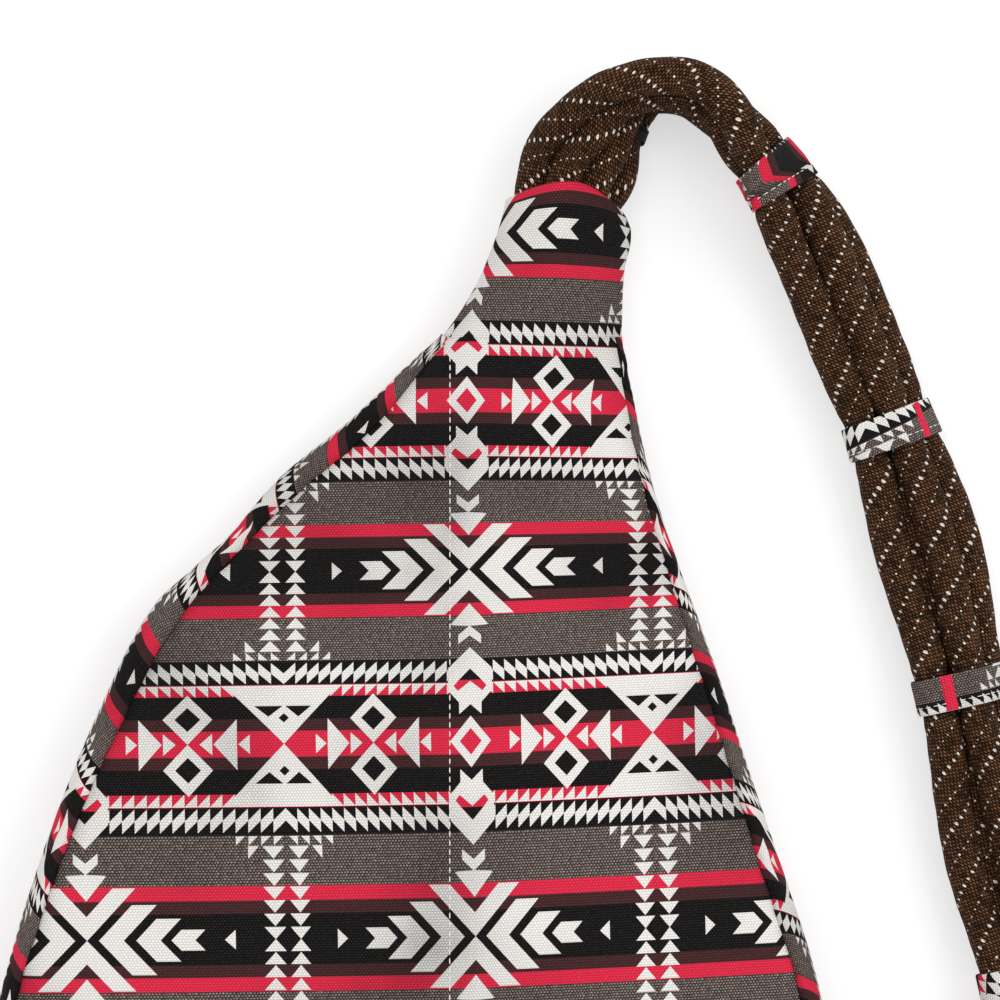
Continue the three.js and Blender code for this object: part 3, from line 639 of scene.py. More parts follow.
def front_height(x, y):
    """Height of the front panel: level, squared ramps up to the left and bottom seams, a plane strip
    along the main zip and a straight slope from it to the right seam."""
    xl, xr = left_at(y) + SEW_GAP, right_at(y) - SEW_GAP
    zip_x, zip_z = on_main_zip(y)
    zx = np.minimum(zip_x, xr - ZIP_STRIP - ZIP_EDGE)
    level = floor_at(y)
    climb = FRONT_SEAM - level
    foot = climb * np.maximum(1 - y / FRONT_RAMP, 0) ** 2
    flat_end = zx - 1.6 * ZIP_STRIP
    ramp = np.minimum(FRONT_RAMP, 0.6 * (flat_end - xl))
    side = climb * np.clip(1 - (x - xl) / ramp, 0, 1) ** 2
    base = level + np.maximum(side, foot)
    near = np.maximum(zip_z - ZIP_STRIP * ZIP_LEAN, level + foot)
    far = np.maximum(zip_z + ZIP_STRIP * ZIP_LEAN, level + foot)
    strip = near + (x - zx + ZIP_STRIP) / (2 * ZIP_STRIP) * (far - near)
    rise = base + (near - base) * np.clip((x - flat_end) / (0.6 * ZIP_STRIP), 0, 1)
    beyond = (x - zx - ZIP_STRIP) / np.maximum(xr - zx - ZIP_STRIP, 1e-6)
    slope = far + (FRONT_SEAM - far) * np.clip(beyond, 0, 1)
    return np.where(x < zx - ZIP_STRIP, rise, np.where(x < zx + ZIP_STRIP, strip, slope))


def steps(*runs):
    """One rising list from runs of (start, end, count), without the repeated joints."""
    return np.unique(np.concatenate([np.linspace(a, b, n) for a, b, n in runs]).round(7))


window_y = POCKET_ZIP_HEIGHT + np.array([-WINDOW_HALF, WINDOW_HALF])
main_reach = (STOP_LENGTH + 0.001) * 0.98
main_y = zip_y + np.array([-main_reach, main_reach])
front_rows = steps(
    (0, CORNER_RADIUS, 40), (CORNER_RADIUS, main_y[0], 24), (main_y[0], window_y[0], 60),
    (window_y[0], window_y[1], 8), (window_y[1], main_y[1], 44), (main_y[1], body_height, 24),
)
mark = np.array([POCKET_ZIP_HEIGHT])
window_edge = on_main_zip(mark)[0][0] - WINDOW_HALF
inner_left = left_at(mark)[0]
pocket_x = np.array([pocket_left - WINDOW_END, pocket_right + WINDOW_END])
pocket_share = (pocket_x - inner_left) / (window_edge - inner_left)
front_columns = steps(
    (0, pocket_share[0], 34), (pocket_share[0], pocket_share[1], 60), (pocket_share[1], 1, 22),
    (1, 2, 8), (2, 3, 24),
)
y = front_rows[:, None]
zip_x = np.minimum(on_main_zip(y)[0], right_at(y) - SEW_GAP - ZIP_STRIP - ZIP_EDGE)
keys = [left_at(y) + SEW_GAP, zip_x - WINDOW_HALF, zip_x + WINDOW_HALF, right_at(y) - SEW_GAP]
k = np.minimum(front_columns.astype(int), 2)
t = front_columns - k
x = np.choose(k, keys[:3]) * (1 - t) + np.choose(k, keys[1:]) * t
edge_reach = np.minimum(np.minimum(x - keys[0], keys[3] - x), y)
z = front_height(x, y) + FRONT_ROLL * near_seam(edge_reach)
points = laid(x, y, z)[:, ::-1]
cloth = print_place(points[..., 0], points[..., 1]) + np.array([40, 60]) * PRINT_UNIT
front_panel = surface("front_panel_canvas", points, cloth, canvas)
mid_y = (front_rows[1:] + front_rows[:-1])[:, None] / 2
mid_c = (front_columns[1:] + front_columns[:-1])[::-1] / 2
main = (mid_c > 1) & (mid_c < 2) & (mid_y > main_y[0]) & (mid_y < main_y[1])
pocket = (mid_c > pocket_share[0]) & (mid_c < pocket_share[1])
pocket = pocket & (np.abs(mid_y - POCKET_ZIP_HEIGHT) < WINDOW_HALF)
with opened(front_panel.data) as sheet:
    sheet.faces.ensure_lookup_table()
    gone = [sheet.faces[i] for i in np.flatnonzero(main | pocket)]
    bmesh.ops.delete(sheet, geom=gone, context="FACES")
thicken(front_panel, FRONT_CLOTH)
dress(front_panel, "front_panel")


def over_front(x, y):
    """Row of sewing on the front panel: its points and the direction out of the cloth."""
    points = laid(x, y, front_height(*np.broadcast_arrays(x, y)))
    return points, np.broadcast_to([0.0, 0.0, -1.0], points.shape)


# The rows go round three sides of each window: at its foot end the pull would lie on the thread.
across = np.linspace(-WINDOW_HALF - HEM, WINDOW_HALF + HEM, 20)
y = np.linspace(main_y[0] - HEM, main_y[1] + HEM, 200)
x = np.linspace(pocket_x[0] - HEM, pocket_x[1] + HEM, 120)
rows = [over_front(on_main_zip(y)[0] + edge, y) for edge in across[[0, -1]]]
rows += [over_front(x, POCKET_ZIP_HEIGHT + edge) for edge in across[[0, -1]]]
rows.append(over_front(on_main_zip(np.full(20, y[-1]))[0] + across, y[-1]))
rows.append(over_front(x[-1], POCKET_ZIP_HEIGHT + across))
stitched("front_panel_stitches", rows, thread)


# Zips: woven black tapes with moulded teeth along the slit, cast stops, a plated slider and its pull.
# The tapes are sewn behind the windows; the metal pieces keep their own shape.

zip_black, start = start_material("zip_tape_black")
u, v, tape_uv = cloth_place(start, 0.001)
rib = plain_weave(u, v, 1.1, 0.55)
fuzz = start.noise(tape_uv, 900, 2)
# Painted shade and highlight: the tape is lighter on its raised ribs and darker between them; the fuzz is
# its own uneven tone.
tint = (0.25 * rib + 0.3 * fuzz).over(dye(64, 64, 68), dye(20, 20, 23))
finish_material(zip_black, 0.85, 0.2, tint, rib.bump(0.5, 0.0002))

plated, start = start_material("zip_metal_dark")
place = start.place()
brush = start.noise(place, 1800, 3)
rubbed = (0.7 * start.noise(place, 240, 2)).over(dye(128, 128, 134), dye(66, 66, 70))
finish_material(plated, 0.25 + 0.25 * brush, 0.5, rubbed, brush.bump(0.12, 0.0001), {"Metallic": 1.0})

lining, start = start_material("lining_cloth")
x, y = start.place().parts()
grid = plain_weave(x, y, 0.0006, 0.0006)
# Painted shade and highlight: lighter on the raised yarns, darker between them.
finish_material(lining, 0.9, 0.1, grid.over(dye(62, 58, 56), dye(34, 32, 31)), grid.bump(0.3, 0.0001))

TAPE_WIDTH, TAPE_HALF = 0.0115, 0.0004
TOOTH_PITCH, TOOTH_SIZE, TOOTH_OFFSET = 0.006, (0.003, 0.0021, 0.0022), 0.0018


def coat(node, material):
    """Gives a CAD node a finish of its own."""
    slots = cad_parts[node].data.materials
    slots.clear()
    slots.append(material)


coat("pocket_lining", lining)


def zip_frame(ends, outward):
    """Middle of a zip's tape, its directions along, across and outward as columns, and its length."""
    along = ends[1] - ends[0]
    length = np.linalg.norm(along)
    along = along / length
    across = unit(np.cross(outward, along))
    out = np.cross(along, across)
    middle = ends.mean(0) + [middle_x, foot_y, 0] - out * (CANVAS + SEW_GAP + TAPE_HALF)
    return middle, np.stack([along, across, out], -1), length


def squared(value, power):
    """A sine or cosine raised to a low power with its sign kept, which squares a circle's corners."""
    return np.sign(value) * np.abs(value) ** power


def bead(size):
    """Rounded block as a grid: a ball made of squared sines and cosines, times its half sizes."""
    turn = turns(10)[None, :]
    rise = np.linspace(-np.pi / 2, np.pi / 2, 7)[:, None]
    x = squared(np.cos(rise), 0.45) * squared(np.cos(turn), 0.45)
    y = squared(np.cos(rise), 0.45) * squared(np.sin(turn), 0.45)
    z = squared(np.sin(rise), 0.45) * np.ones_like(turn)
    return np.stack([x, y, z], -1) * np.array(size) / 2


def zip_tape(node, line, sign):
    """One tape: a thin ribbed strip with a corded edge, and rounded teeth standing across that edge."""
    middle, axes, length = line
    end = length / 2 + 2 * STOP_LENGTH
    x = np.linspace(-end, end, 160)[:, None]
    profile = np.array([
        [0.75, -0.4], [0.75, 0.4], [1.1, 0.62], [1.7, 0.62], [2.2, 0.4], [6.5, 0.4], [11.2, 0.4],
        [11.5, 0.0], [11.2, -0.4], [6.5, -0.4], [2.2, -0.4], [1.7, -0.62], [1.1, -0.62],
    ]) / 1000
    local = grid_of(x, sign * profile[:, 0], profile[:, 1])
    if sign > 0:
        local = local[:, ::-1]
    cloth = grid_of(x, run_along(looped(profile)))
    strip = surface(node + "_woven", middle + local @ axes.T, cloth, zip_black, around=True)
    with opened(strip.data) as shell:
        bmesh.ops.holes_fill(shell, edges=[e for e in shell.edges if e.is_boundary])
        bmesh.ops.recalc_face_normals(shell, faces=shell.faces)
    count = int(length // TOOTH_PITCH) - 1
    places = -length / 2 + (np.arange(count) + (0.5 if sign > 0 else 1)) * TOOTH_PITCH
    centres = grid_of(places, sign * TOOTH_OFFSET, 0)
    beads = bead(TOOTH_SIZE) + centres[:, None, None]
    teeth = merged(node + "_woven_teeth", middle + beads @ axes.T, zip_black)
    dress(strip, node)
    dress(teeth)


main_zip = zip_frame(main_ends, np.array([ZIP_LEAN, 0, -1]))
pocket_zip = zip_frame(pocket_ends, np.array([0, NECK_RISE, -1]))
for label, line in (("main_zip", main_zip), ("pocket_zip", pocket_zip)):
    zip_tape(f"{label}_tape_a", line, 1)
    zip_tape(f"{label}_tape_b", line, -1)
    for suffix in ("foot_stop", "head_stop", "slider", "pull"):
        coat(f"{label}_{suffix}", plated)


# Strap: four braided ropes, dark brown with a few pale yarns in each braid, held side by side. They
# leave the neck, make half a twist at the top of the loop and come down beside the bag to its corner.

ROPE_DIAMETER, ROPE_SPACE = 0.0093, 0.0011
BAND_FIT, BAND_CLOTH = 0.00055, 0.0012
ROPE_PITCH = ROPE_DIAMETER + ROPE_SPACE
ROPE_ROUND, ROPE_TIGHT = 0.0061, 0.0048

# A row of the table is a place on the strap: x and y as shares of the body's width and height, lift off
# the floor in ropes, and the lean in degrees of the step from each rope to the next.
STRAP = np.array([
    [0.1879, 1.0545, 0.33, 30, -40, -60],
    [0.1949, 1.0914, 0.33, 30, -40, -60],
    [0.2115, 1.1161, 0.46, 14, -22, -54],
    [0.2306, 1.1369, 0.2, -15, -50, -70],
    [0.2566, 1.1543, 0, -50, -72, -70],
    [0.2936, 1.1677, 0, -62, -112, -64],
    [0.3429, 1.1663, 0, -58, -122, -58],
    [0.3805, 1.1503, 0, -66, -114, -66],
    [0.4133, 1.1275, 0, -75, -140, -75],
    [0.4403, 1.1088, 0, -88, -155, -88],
    [0.492, 1.0579, 0, -115, -215, -115],
    [0.5432, 0.9883, 0, -124, -233, -124],
    [0.5789, 0.9374, 0, -123, -237, -123],
    [0.6223, 0.8604, 0, -142, -218, -142],
    [0.6634, 0.7633, 0, -125, -235, -125],
    [0.7045, 0.6562, 0, -142, -218, -142],
    [0.7398, 0.5658, 0, -125, -235, -125],
    [0.7727, 0.4687, 0, -142, -218, -142],
    [0.782, 0.3783, 0, -125, -235, -125],
    [0.7727, 0.2812, 0.5, -154, -206, -154],
    [0.728, 0.2009, 1.2, -174, -186, -174],
    [0.6552, 0.152, 1.7, -179, -181, -179],
    [0.5789, 0.1272, 1.86, -180, -180, -180],
])
BAND_STATIONS = [9, 12, 14, 16, 18]
TIE_STATION = 3.8


def rounded_route(points, at):
    """Smooth curve through points at places counted in points: on each span a cubic whose end slopes take
    the square roots of the neighbouring distances as times, so that it doesn't overshoot."""
    ends = np.vstack([2 * points[0] - points[1], points, 2 * points[-1] - points[-2]])
    i = np.clip(np.floor(at).astype(int), 0, len(points) - 2)
    t = (at - i)[:, None]
    p0, p1, p2, p3 = (ends[i + k] for k in range(4))
    spans = (p1 - p0, p2 - p1, p3 - p2)
    d0, d1, d2 = (np.linalg.norm(span, axis=1, keepdims=True) ** 0.5 for span in spans)
    m1 = ((p1 - p0) / d0 - (p2 - p0) / (d0 + d1) + (p2 - p1) / d1) * d1
    m2 = ((p2 - p1) / d1 - (p3 - p1) / (d1 + d2) + (p3 - p2) / d2) * d1
    return p1 + m1 * t + (-3 * p1 + 3 * p2 - 2 * m1 - m2) * t**2 + (2 * p1 - 2 * p2 + m1 + m2) * t**3


def strap_at(at):
    """Rope centres, shape (places, 4, 3), and the strap's sideways direction, at places counted in rows of
    the table: each rope is one pitch from the one before it, at the lean of that step, and the row of four
    is centred."""
    plan = STRAP[:, :2] * [body_width, body_height]
    middle = rounded_route(plan, at)
    ahead, behind = np.minimum(at + 1e-3, len(STRAP) - 1), np.maximum(at - 1e-3, 0)
    travel = rounded_route(plan, ahead) - rounded_route(plan, behind)
    side = unit(np.stack([travel[:, 1], -travel[:, 0]], -1))
    lift, *leans = (smooth_through(np.arange(len(STRAP)), STRAP[:, k])(at) for k in (2, 3, 4, 5))
    lean = np.radians(np.stack(leans, -1))
    across = np.pad(np.cumsum(np.cos(lean), 1), ((0, 0), (1, 0)))
    up = np.pad(np.cumsum(np.sin(lean), 1), ((0, 0), (1, 0)))
    across -= (across.min(1, keepdims=True) + across.max(1, keepdims=True)) / 2
    up += lift[:, None] - up.min(1, keepdims=True)
    plane = middle[:, None] + across[..., None] * ROPE_PITCH * side[:, None] + [middle_x, foot_y]
    height = ROPE_DIAMETER / 2 + BAND_FIT + BAND_CLOTH + up * ROPE_PITCH
    return np.concatenate([plane, height[..., None]], -1), np.pad(side, ((0, 0), (0, 1)))


def evenly(points, spacing):
    """Points spaced evenly along a line of points, and their distance along it."""
    s = run_along(points)
    at = np.linspace(0, s[-1], int(s[-1] / spacing) + 1)
    return between(at, s, points), at


def carried(line):
    """Two directions across a line at each of its points, turned as little as possible on the way."""
    way = unit(np.gradient(line, axis=0))
    side = np.empty_like(line)
    side[0] = np.cross(way[0], [0, 0, 1])
    for i in range(1, len(line)):
        side[i] = side[i - 1] - way[i] * (side[i - 1] @ way[i])
    side = unit(side)
    return side, np.cross(way, side)


YARNS, LAY, FLOAT, THICK = 20, 0.036, 1.25, 0.625
rope_brown, start = start_material("braided_rope_brown")
u, v, _ = cloth_place(start, 1.0)
rising = YARNS * (u + v / LAY)
falling = YARNS * (u - v / LAY)
knit = plain_weave(falling, rising, FLOAT, THICK)


def by_chance(across, along):
    """A number from 0 to 1 that is the same all over one cell of the braid."""
    cell = start.node("ShaderNodeCombineXYZ", (), {"X": across // 1, "Y": along // 1})
    return start.node("ShaderNodeTexWhiteNoise", {"noise_dimensions": "2D"}, {"Vector": cell})


bold = falling % 10 < 5
chance = by_chance(rising / 2, falling / 5)
spot = 7.7 * (rising % 2 - 1) ** 2 + (8 - 5.6 * bold) * (falling % 5 - 2.5) ** 2
fleck = spot < 0.1 + 0.7 * chance + 0.3 * bold
patch = start.noise(start.place(), 160, 2)
float_row = rising // THICK
shine = by_chance(float_row, falling / FLOAT + 0.5 * float_row)
# Painted highlight on the yarn tops, uneven from cell to cell, and painted shade near black in the gaps
# between them; the pale flecks are the braid's own pale yarns.
lit = knit**1.4 * (0.25 + 0.85 * shine) * (0.5 + patch)
yarn = fleck.over(dye(250, 244, 234), lit.over(dye(140, 97, 66), dye(12, 7, 5)))
finish_material(rope_brown, 0.7, 0.06, yarn, (knit + 0.4 * fleck).bump(1.0, 0.0007))

ROPE_SIDES, ROPE_STEP, ROPE_TIP = 40, 0.00062, 0.0025
GRIP, NECK_HOLD, END_HOLD = 0.0085, (0.012, 0.03), (0.035, 0.055)
DRAWN_RUN, SWELL_RUN, LOWER_RUN = (0.06, 0.1), (0.05, 0.1), 0.03
LAY_RELIEF, UNEVEN = 0.00007, 0.00006
stations = np.linspace(0, len(STRAP) - 1, 1200)
routes, _ = strap_at(stations)
turn = turns(ROPE_SIDES)
for i in range(4):
    run = run_along(routes[:, i])
    bound = np.interp(BAND_STATIONS + [TIE_STATION] * (i == 3), stations, run)
    squeeze = np.exp(-(((run[:, None] - bound) / GRIP) ** 4)).max(1)
    squeeze = np.maximum(squeeze, 1 - eased(run, *NECK_HOLD) * eased(run[-1] - run, *END_HOLD))
    below = eased(run, bound[1] - LOWER_RUN, bound[1] + LOWER_RUN)
    loose = (1 - squeeze) * eased(run, *DRAWN_RUN) * (0.05 + 0.03 * below)
    drawn = routes[:, i] + loose[:, None] * (routes.mean(1) - routes[:, i])
    line, s = evenly(drawn, ROPE_STEP)
    side, up = carried(line)
    tight = np.maximum(squeeze, 0.6 - 0.6 * eased(run, *SWELL_RUN) + 0.3 * below)
    girth = np.interp(s, run, ROPE_ROUND + (ROPE_TIGHT - ROPE_ROUND) * tight)
    lay = np.cos(3 * turn - 3 * 2 * np.pi * s[:, None] / LAY)
    end = np.sqrt(np.clip(np.minimum(s, s[-1] - s) / ROPE_TIP, 0, 1))
    uneven = LAY_RELIEF * lay + UNEVEN * ripple(s, 0.021, i + 1.0)[:, None]
    radius = (girth[:, None] + uneven) * end[:, None]
    cloth = grid_of(np.linspace(0, 1, ROPE_SIDES + 1), s[:, None])
    points = line[:, None] + radius[..., None] * spokes(turn, side, up)
    rope = surface(f"rope_{i + 1}_braid", points, cloth, rope_brown, around=True)
    dress(rope, f"rope_{i + 1}")


# Bands: short strips of the printed canvas, folded and sewn tight round all four ropes, each with a
# lapped end where the strip closes. A black tape is tied round the inner rope near the top of the loop.


def hull(centres, way, radius):
    """Outline round circles about the centres: the edge of the farthest one in each direction."""
    return centres[np.argmax(way @ centres.T, 1)] + radius * way


def hull_ring(centres, side, up, radius, count):
    """Closed ring at even steps round circles about the centres, in the plane of two directions."""
    closed = looped(hull(centres, spokes(turns(720), side, up), radius))
    even, _ = evenly(closed, np.linalg.norm(np.diff(closed, axis=0), axis=1).sum() / count)
    return even[:count]


def sleeve(name, rings_at, width, material, cloth_corner, cloth_turn=0.0):
    """Closed sleeve round the strap: a rounded strip profile carried round the rings that rings_at gives
    for a place along it from -1 to 1 and a share of its cloth's thickness. Its cloth starts at a corner of
    the print and may be cut at a turn."""
    turn = turns(28)
    along, out = squared(np.sin(turn), 0.35), 0.5 + 0.5 * squared(np.cos(turn), 0.5)
    rings = np.stack([rings_at(a, o) for a, o in zip(along, out)])
    girth = run_along(looped(rings[0]))
    row = np.concatenate([along, along[:1]])[:, None] * width / 2
    a, b = np.cos(cloth_turn), np.sin(cloth_turn)
    cloth = grid_of(a * girth - b * row, b * girth + a * row) + np.array(cloth_corner) * PRINT_UNIT
    return surface(name, rings, cloth, material, around=True, ring=True)


def round_row(ring):
    """Row of sewing round a closed ring: its points and the directions away from its middle."""
    return looped(ring), unit(looped(ring) - ring.mean(0))


def station_after(station, distance):
    """Place counted in stations at a distance along the middle of the strap from a station."""
    run = run_along(routes.mean(1))
    return np.interp(np.interp(station, stations, run) + distance, run, stations)


BAND_WIDTHS = [0.0130, 0.0112, 0.0112, 0.0112, 0.0112]
BAND_EASES = [0.0005, 0.0002, 0.0002, 0.0002, 0.0002]
BAND_PRINTS = [(146, 58, np.pi / 2), (150, 76, 0.1), (60, -86, 0.0), (20, 40, 1.3), (110, 20, 0.2)]
LAP_STARTS, LAP_STEPS, LAP_PRINT = [3, 38, 16, 24, 20], 6, (124.5, 135)
RING_STEPS, UP = 110, np.array([0.0, 0.0, 1.0])
bands, band_rows = [], []
for i, station in enumerate(BAND_STATIONS):

    def band_ring(along, out):
        """Ring of this band at a place along it and a share of its cloth's thickness."""
        centres, side = strap_at(np.array([station_after(station, along * BAND_WIDTHS[i] / 2)]))
        radius = ROPE_DIAMETER / 2 + BAND_FIT + BAND_EASES[i] + out * BAND_CLOTH
        return hull_ring(centres[0] + BAND_EASES[i] * UP, side[0], UP, radius, RING_STEPS)

    column, row, turned = BAND_PRINTS[i]
    band = sleeve(f"strap_band_{i + 1}_canvas", band_ring, BAND_WIDTHS[i], canvas, (column, row), turned)
    dress(band, f"strap_band_{i + 1}")
    rows, steps_in = np.linspace(-0.98, 0.98, 12), np.arange(LAP_STEPS)
    columns = LAP_STARTS[i] + steps_in
    under, over = (np.stack([band_ring(along, out)[columns] for along in rows]) for out in (0.95, 1.35))
    edge = np.minimum(1, 1.3 * steps_in * steps_in[::-1] / 4)[:, None]
    cloth = grid_of(60 + 16 * rows[:, None], np.linspace(*LAP_PRINT, LAP_STEPS)) * PRINT_UNIT
    lap = surface(f"strap_band_{i + 1}_lap", under + edge * (over - under), cloth, canvas)
    dress(lap)
    bands += [band, lap]
    band_rows.append(round_row(band_ring(0.55, 1.0)))
stitched("strap_band_stitches", band_rows, thread, radius=0.00013)

black_tape, start = start_material("black_tape")
u, v, _ = cloth_place(start, 0.001)
grid = plain_weave(u, v, 0.9, 0.5)
# Painted shade and highlight: lighter on the raised yarns, darker between them.
tint = (0.5 * grid).over(dye(52, 52, 54), dye(20, 20, 22))
finish_material(black_tape, 0.8, 0.2, tint, grid.bump(0.5, 0.0002))
TIE_WIDTH, TIE_RADIUS, TIE_CLOTH = 0.006, 0.0052, 0.0006


def tie_ring(along, out):
    """Ring round the inner rope alone, square to it."""
    here = station_after(TIE_STATION, along * TIE_WIDTH / 2)
    near = strap_at(np.array([here - 0.01, here, here + 0.01]))[0][:, 3]
    way = unit(near[2] - near[0])
    side = unit(np.cross(way, UP))
    return hull_ring(near[1:2], side, np.cross(side, way), TIE_RADIUS + out * TIE_CLOTH, 48)


tie = sleeve("strap_tie_tape", tie_ring, TIE_WIDTH, black_tape, (0, 0))
dress(tie, "strap_tie")


# Neck cuff: the canvas of the neck carried on into a sleeve that the rope ends are sewn into, its mouth
# turned in and arched. At the other end a smaller cuff closes the ropes and is drawn flat to a sewn tab.

CUFF_LENGTH, CUFF_SIDES, ROPE_FIT, NECK_BULGE = 0.045, 160, 0.0008, 0.0015
PEAK_ABOVE, PEAK_BELOW, DIP_RIGHT, DIP_LEFT = 0.0031, -0.002, 0.0056, 0.0018
CUFF_SWELL = smooth_through(
    [0, 0.3, 0.51, 0.68, 0.8, 0.87, 0.94, 1],
    np.array([0, 0.6, 1.4, 2.7, 2.6, 1.4, -1.2, -4.4]) / 1000,
)


def neck_section(turn, inset):
    """Section of the body at the neck: back panel above, front panel below, round gussets at the sides."""
    y = np.full(len(turn), body_height)
    left, right = left_at(y), right_at(y)
    half = (right - left) / 2
    x = (half + NECK_BULGE - inset) * np.cos(turn)
    inside = np.clip((left + right) / 2 + x, left + SEW_GAP, right - SEW_GAP)
    face = np.where(np.sin(turn) < 0, front_height(inside, y) + inset, back_height(inside, y) - inset)
    waist = (back_seam(y) + FRONT_SEAM) / 2
    beyond = np.clip((np.abs(x) - half) / NECK_BULGE, 0, 1)
    return (left + right) / 2 + x + middle_x, waist + (face - waist) * np.sqrt(1 - beyond**2)


def rope_section(turn, y, inset):
    """Tight hull of the four ropes where they cross a height, with the cuff's wall round them."""
    starts = strap_at(np.linspace(0, 2, 60))[0].swapaxes(0, 1)
    centres = np.array([[np.interp(y, rope[:, 1], rope[:, k]) for k in (0, 2)] for rope in starts])
    fine = np.linspace(0, 2 * np.pi, 721)
    way = np.stack([np.cos(fine), np.sin(fine)], -1)
    edge = hull(centres, way, ROPE_DIAMETER / 2 + ROPE_FIT + CANVAS - inset)
    low, high = edge[:, 0].min(), edge[:, 0].max()
    x = (low + high) / 2 + (high - low) / 2 * np.cos(turn)
    above = np.interp(x, edge[360::-1, 0], edge[360::-1, 1])
    below = np.interp(x, edge[360:, 0], edge[360:, 1])
    return x, np.where(np.sin(turn) < 0, below, above)


def cuff_ring(share, inset):
    """Ring of the neck cuff at a share of its length: the neck's section eased into the hull of the ropes.
    Towards the mouth its edge arches over the ropes and dips at the sides, more on the right. A fourth
    column is the point's y on the flat cloth, which follows less of the arch."""
    turn = np.linspace(-np.pi / 2, 3 * np.pi / 2, CUFF_SIDES, endpoint=False)
    y = body_height + foot_y + share * CUFF_LENGTH
    foot, tight = np.array(neck_section(turn, inset)), np.array(rope_section(turn, y, inset))
    x, z = foot + (tight - foot) * (1 - (1 - share) ** 2)
    x = x + np.maximum(np.cos(turn), 0) * CUFF_SWELL(share)
    dip = np.where(np.cos(turn) > 0, DIP_RIGHT, DIP_LEFT)
    peak = np.where(np.sin(turn) > 0, PEAK_ABOVE, PEAK_BELOW)
    arch = peak - (peak + dip) * np.cos(turn) ** 2
    shift = 0.5 * (np.cos(turn) > 0) * (arch - PEAK_ABOVE) + 0.0005 + 0.0012 * np.maximum(-np.cos(turn), 0)
    return np.stack([x, y + share**3 * arch, z, y + share**3 * shift], -1)


OUTER_RINGS, INNER_RINGS = 70, 20
outer, inner = np.linspace(-0.03, 0.985, OUTER_RINGS), np.linspace(0.98, 0.1, INNER_RINGS)
shares = np.concatenate([outer, [0.995, 1.0, 1.0, 0.995], inner])
insets = np.concatenate([0 * outer, [0.0004, 0.0010, 0.0016, 0.0021], np.full(INNER_RINGS, CANVAS)])
insets[:3] = [0.0012, 0.0004, 0.0001]
rings = np.stack([cuff_ring(s, i) for s, i in zip(shares, insets)])
crease = ripple(rings[..., 1] + 0.6 * rings[..., 0], 0.016, 5.0)
crease *= np.sin(np.pi * np.clip(shares, 0, 1))[:, None]
rings[..., 2] += 0.0004 * crease * (insets == 0)[:, None] * (rings[..., 2] > 0.02)
closed = np.concatenate([rings, rings[:, :1]], 1)
round_cuff = np.stack([run_along(ring[:, :3]) for ring in closed])
crest = CUFF_SIDES // 2
across = closed[:, crest : crest + 1, 0] + round_cuff[:, crest : crest + 1] - round_cuff
across -= 0.085 * eased(shares, 0, 0.4)[:, None] * np.maximum(across - 0.0382, 0)
cloth = print_place(across, closed[..., 3])
cuff = surface("neck_cuff_canvas", rings[..., :3], cloth, canvas, around=True)
dress(cuff, "neck_cuff")

END_CUFF_LENGTH, TAB_REACH, TAB_NECK, TAB_HALF, TAB_TAPER = 0.044, 0.022, 0.012, 0.003, 0.32
last_run = np.linspace(len(STRAP) - 4, len(STRAP) - 1, 200)
ends, _ = strap_at(last_run)
back = np.linalg.norm(ends[:, 0] - ends[-1, 0], axis=1)
places = np.interp(np.linspace(END_CUFF_LENGTH, 0, 40), back[::-1], last_run[::-1])
centres, sides = strap_at(places)
wall = ROPE_DIAMETER / 2 + ROPE_FIT + BAND_CLOTH
travel = np.cross(UP, sides[-1])
rings = [hull_ring(c, s, UP, wall - BAND_CLOTH, RING_STEPS) for c, s in zip(centres[3::-1], sides[3::-1])]
rings += [hull_ring(c, s, UP, wall + 0.0001, RING_STEPS) for c, s in zip(centres, sides)]
for ahead in np.linspace(0.001, TAB_REACH, 24):
    thick = TAB_HALF + (wall - TAB_HALF) * (1 - eased(ahead, 0, TAB_NECK))
    narrow = centres[-1] + TAB_TAPER * eased(ahead, 0, TAB_REACH) * (centres[-1, 0] - centres[-1])
    rings.append(hull_ring(narrow + ahead * travel, sides[-1], UP, thick, RING_STEPS))
rings.append(hull_ring(narrow + ahead * travel, sides[-1], UP, 0.0002, RING_STEPS))
rings = np.array(rings)
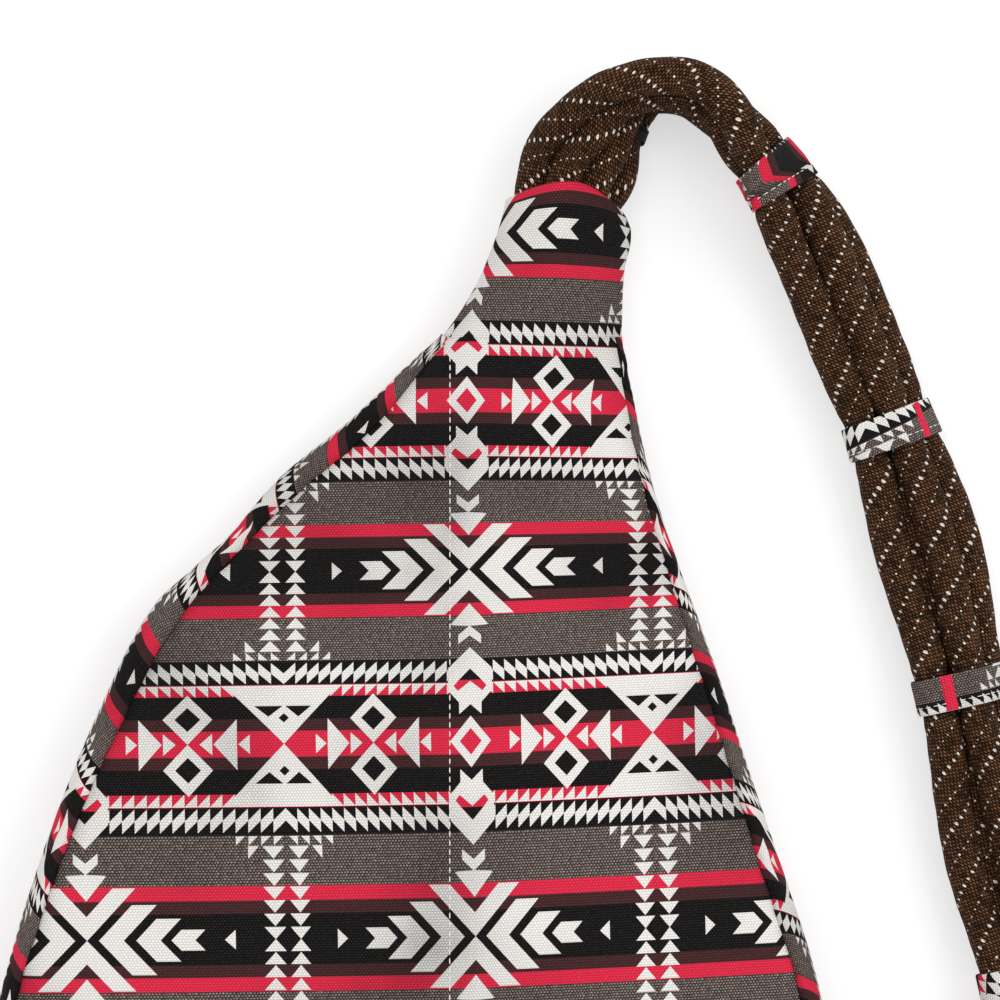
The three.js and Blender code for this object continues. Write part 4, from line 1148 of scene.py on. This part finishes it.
girth, length = run_along(looped(rings[10])), run_along(rings[:, 0])
cloth = grid_of(girth, length[:, None]) + np.array([40, 100]) * PRINT_UNIT
end_cuff = surface("strap_end_cuff_canvas", rings[:, ::-1], cloth[:, ::-1], canvas, around=True)
dress(end_cuff, "strap_end_cuff")
stitched("strap_end_cuff_stitches", [round_row(rings[k]) for k in (8, 50, 56)], thread)


# Light, floor and camera: a white table under even light that is a little stronger from the right, seen
# from straight above as a flat lay.

floor_white, start = start_material("floor_white")
grain = start.noise(start.place(), 40, 2)
tint = (0.02 * grain).over(dye(190, 190, 190), dye(198, 198, 198))
glow = {"Emission Color": (1, 1, 1, 1), "Emission Strength": 0.5}
finish_material(floor_white, 0.9, 0.0, tint, more=glow)
bpy.ops.mesh.primitive_plane_add(size=6, location=(0, 0, -0.0005))
floor = bpy.context.object
floor.name = "floor"
floor.data.materials.append(floor_white)

world = bpy.data.worlds.new("studio")
bpy.context.scene.world = world
world.use_nodes = True
background = world.node_tree.nodes["Background"]
background.inputs["Color"].default_value = (1, 1, 1, 1)
background.inputs["Strength"].default_value = 0.8


def soft_light(name, place, size, watts):
    """Square lamp that faces the middle of the bag."""
    lamp = bpy.data.lights.new(name, "AREA")
    lamp.size = size
    lamp.energy = watts
    light = placed(name, lamp)
    light.location = place
    aim = Vector((0.03, 0.1, 0)) - Vector(place)
    light.rotation_euler = aim.to_track_quat("-Z", "Y").to_euler()


soft_light("right_softbox", (1.3, 0.7, 1.7), 1.4, 17)
soft_light("top_softbox", (-0.4, 0.9, 1.9), 1.4, 7)

VIEW_HEIGHT, VIEW_WIDTH, VIEW_PLANE = 2.5, 0.310, 0.03
lens = bpy.data.cameras.new("flat_lay")
lens.sensor_fit = "HORIZONTAL"
lens.sensor_width = 36
lens.lens = 36 * (VIEW_HEIGHT - VIEW_PLANE) / VIEW_WIDTH
camera = placed("flat_lay", lens)
camera.location = (*PHOTO_CENTRE, VIEW_HEIGHT)
bpy.context.scene.camera = camera
bpy.context.scene.view_settings.view_transform = "Standard"
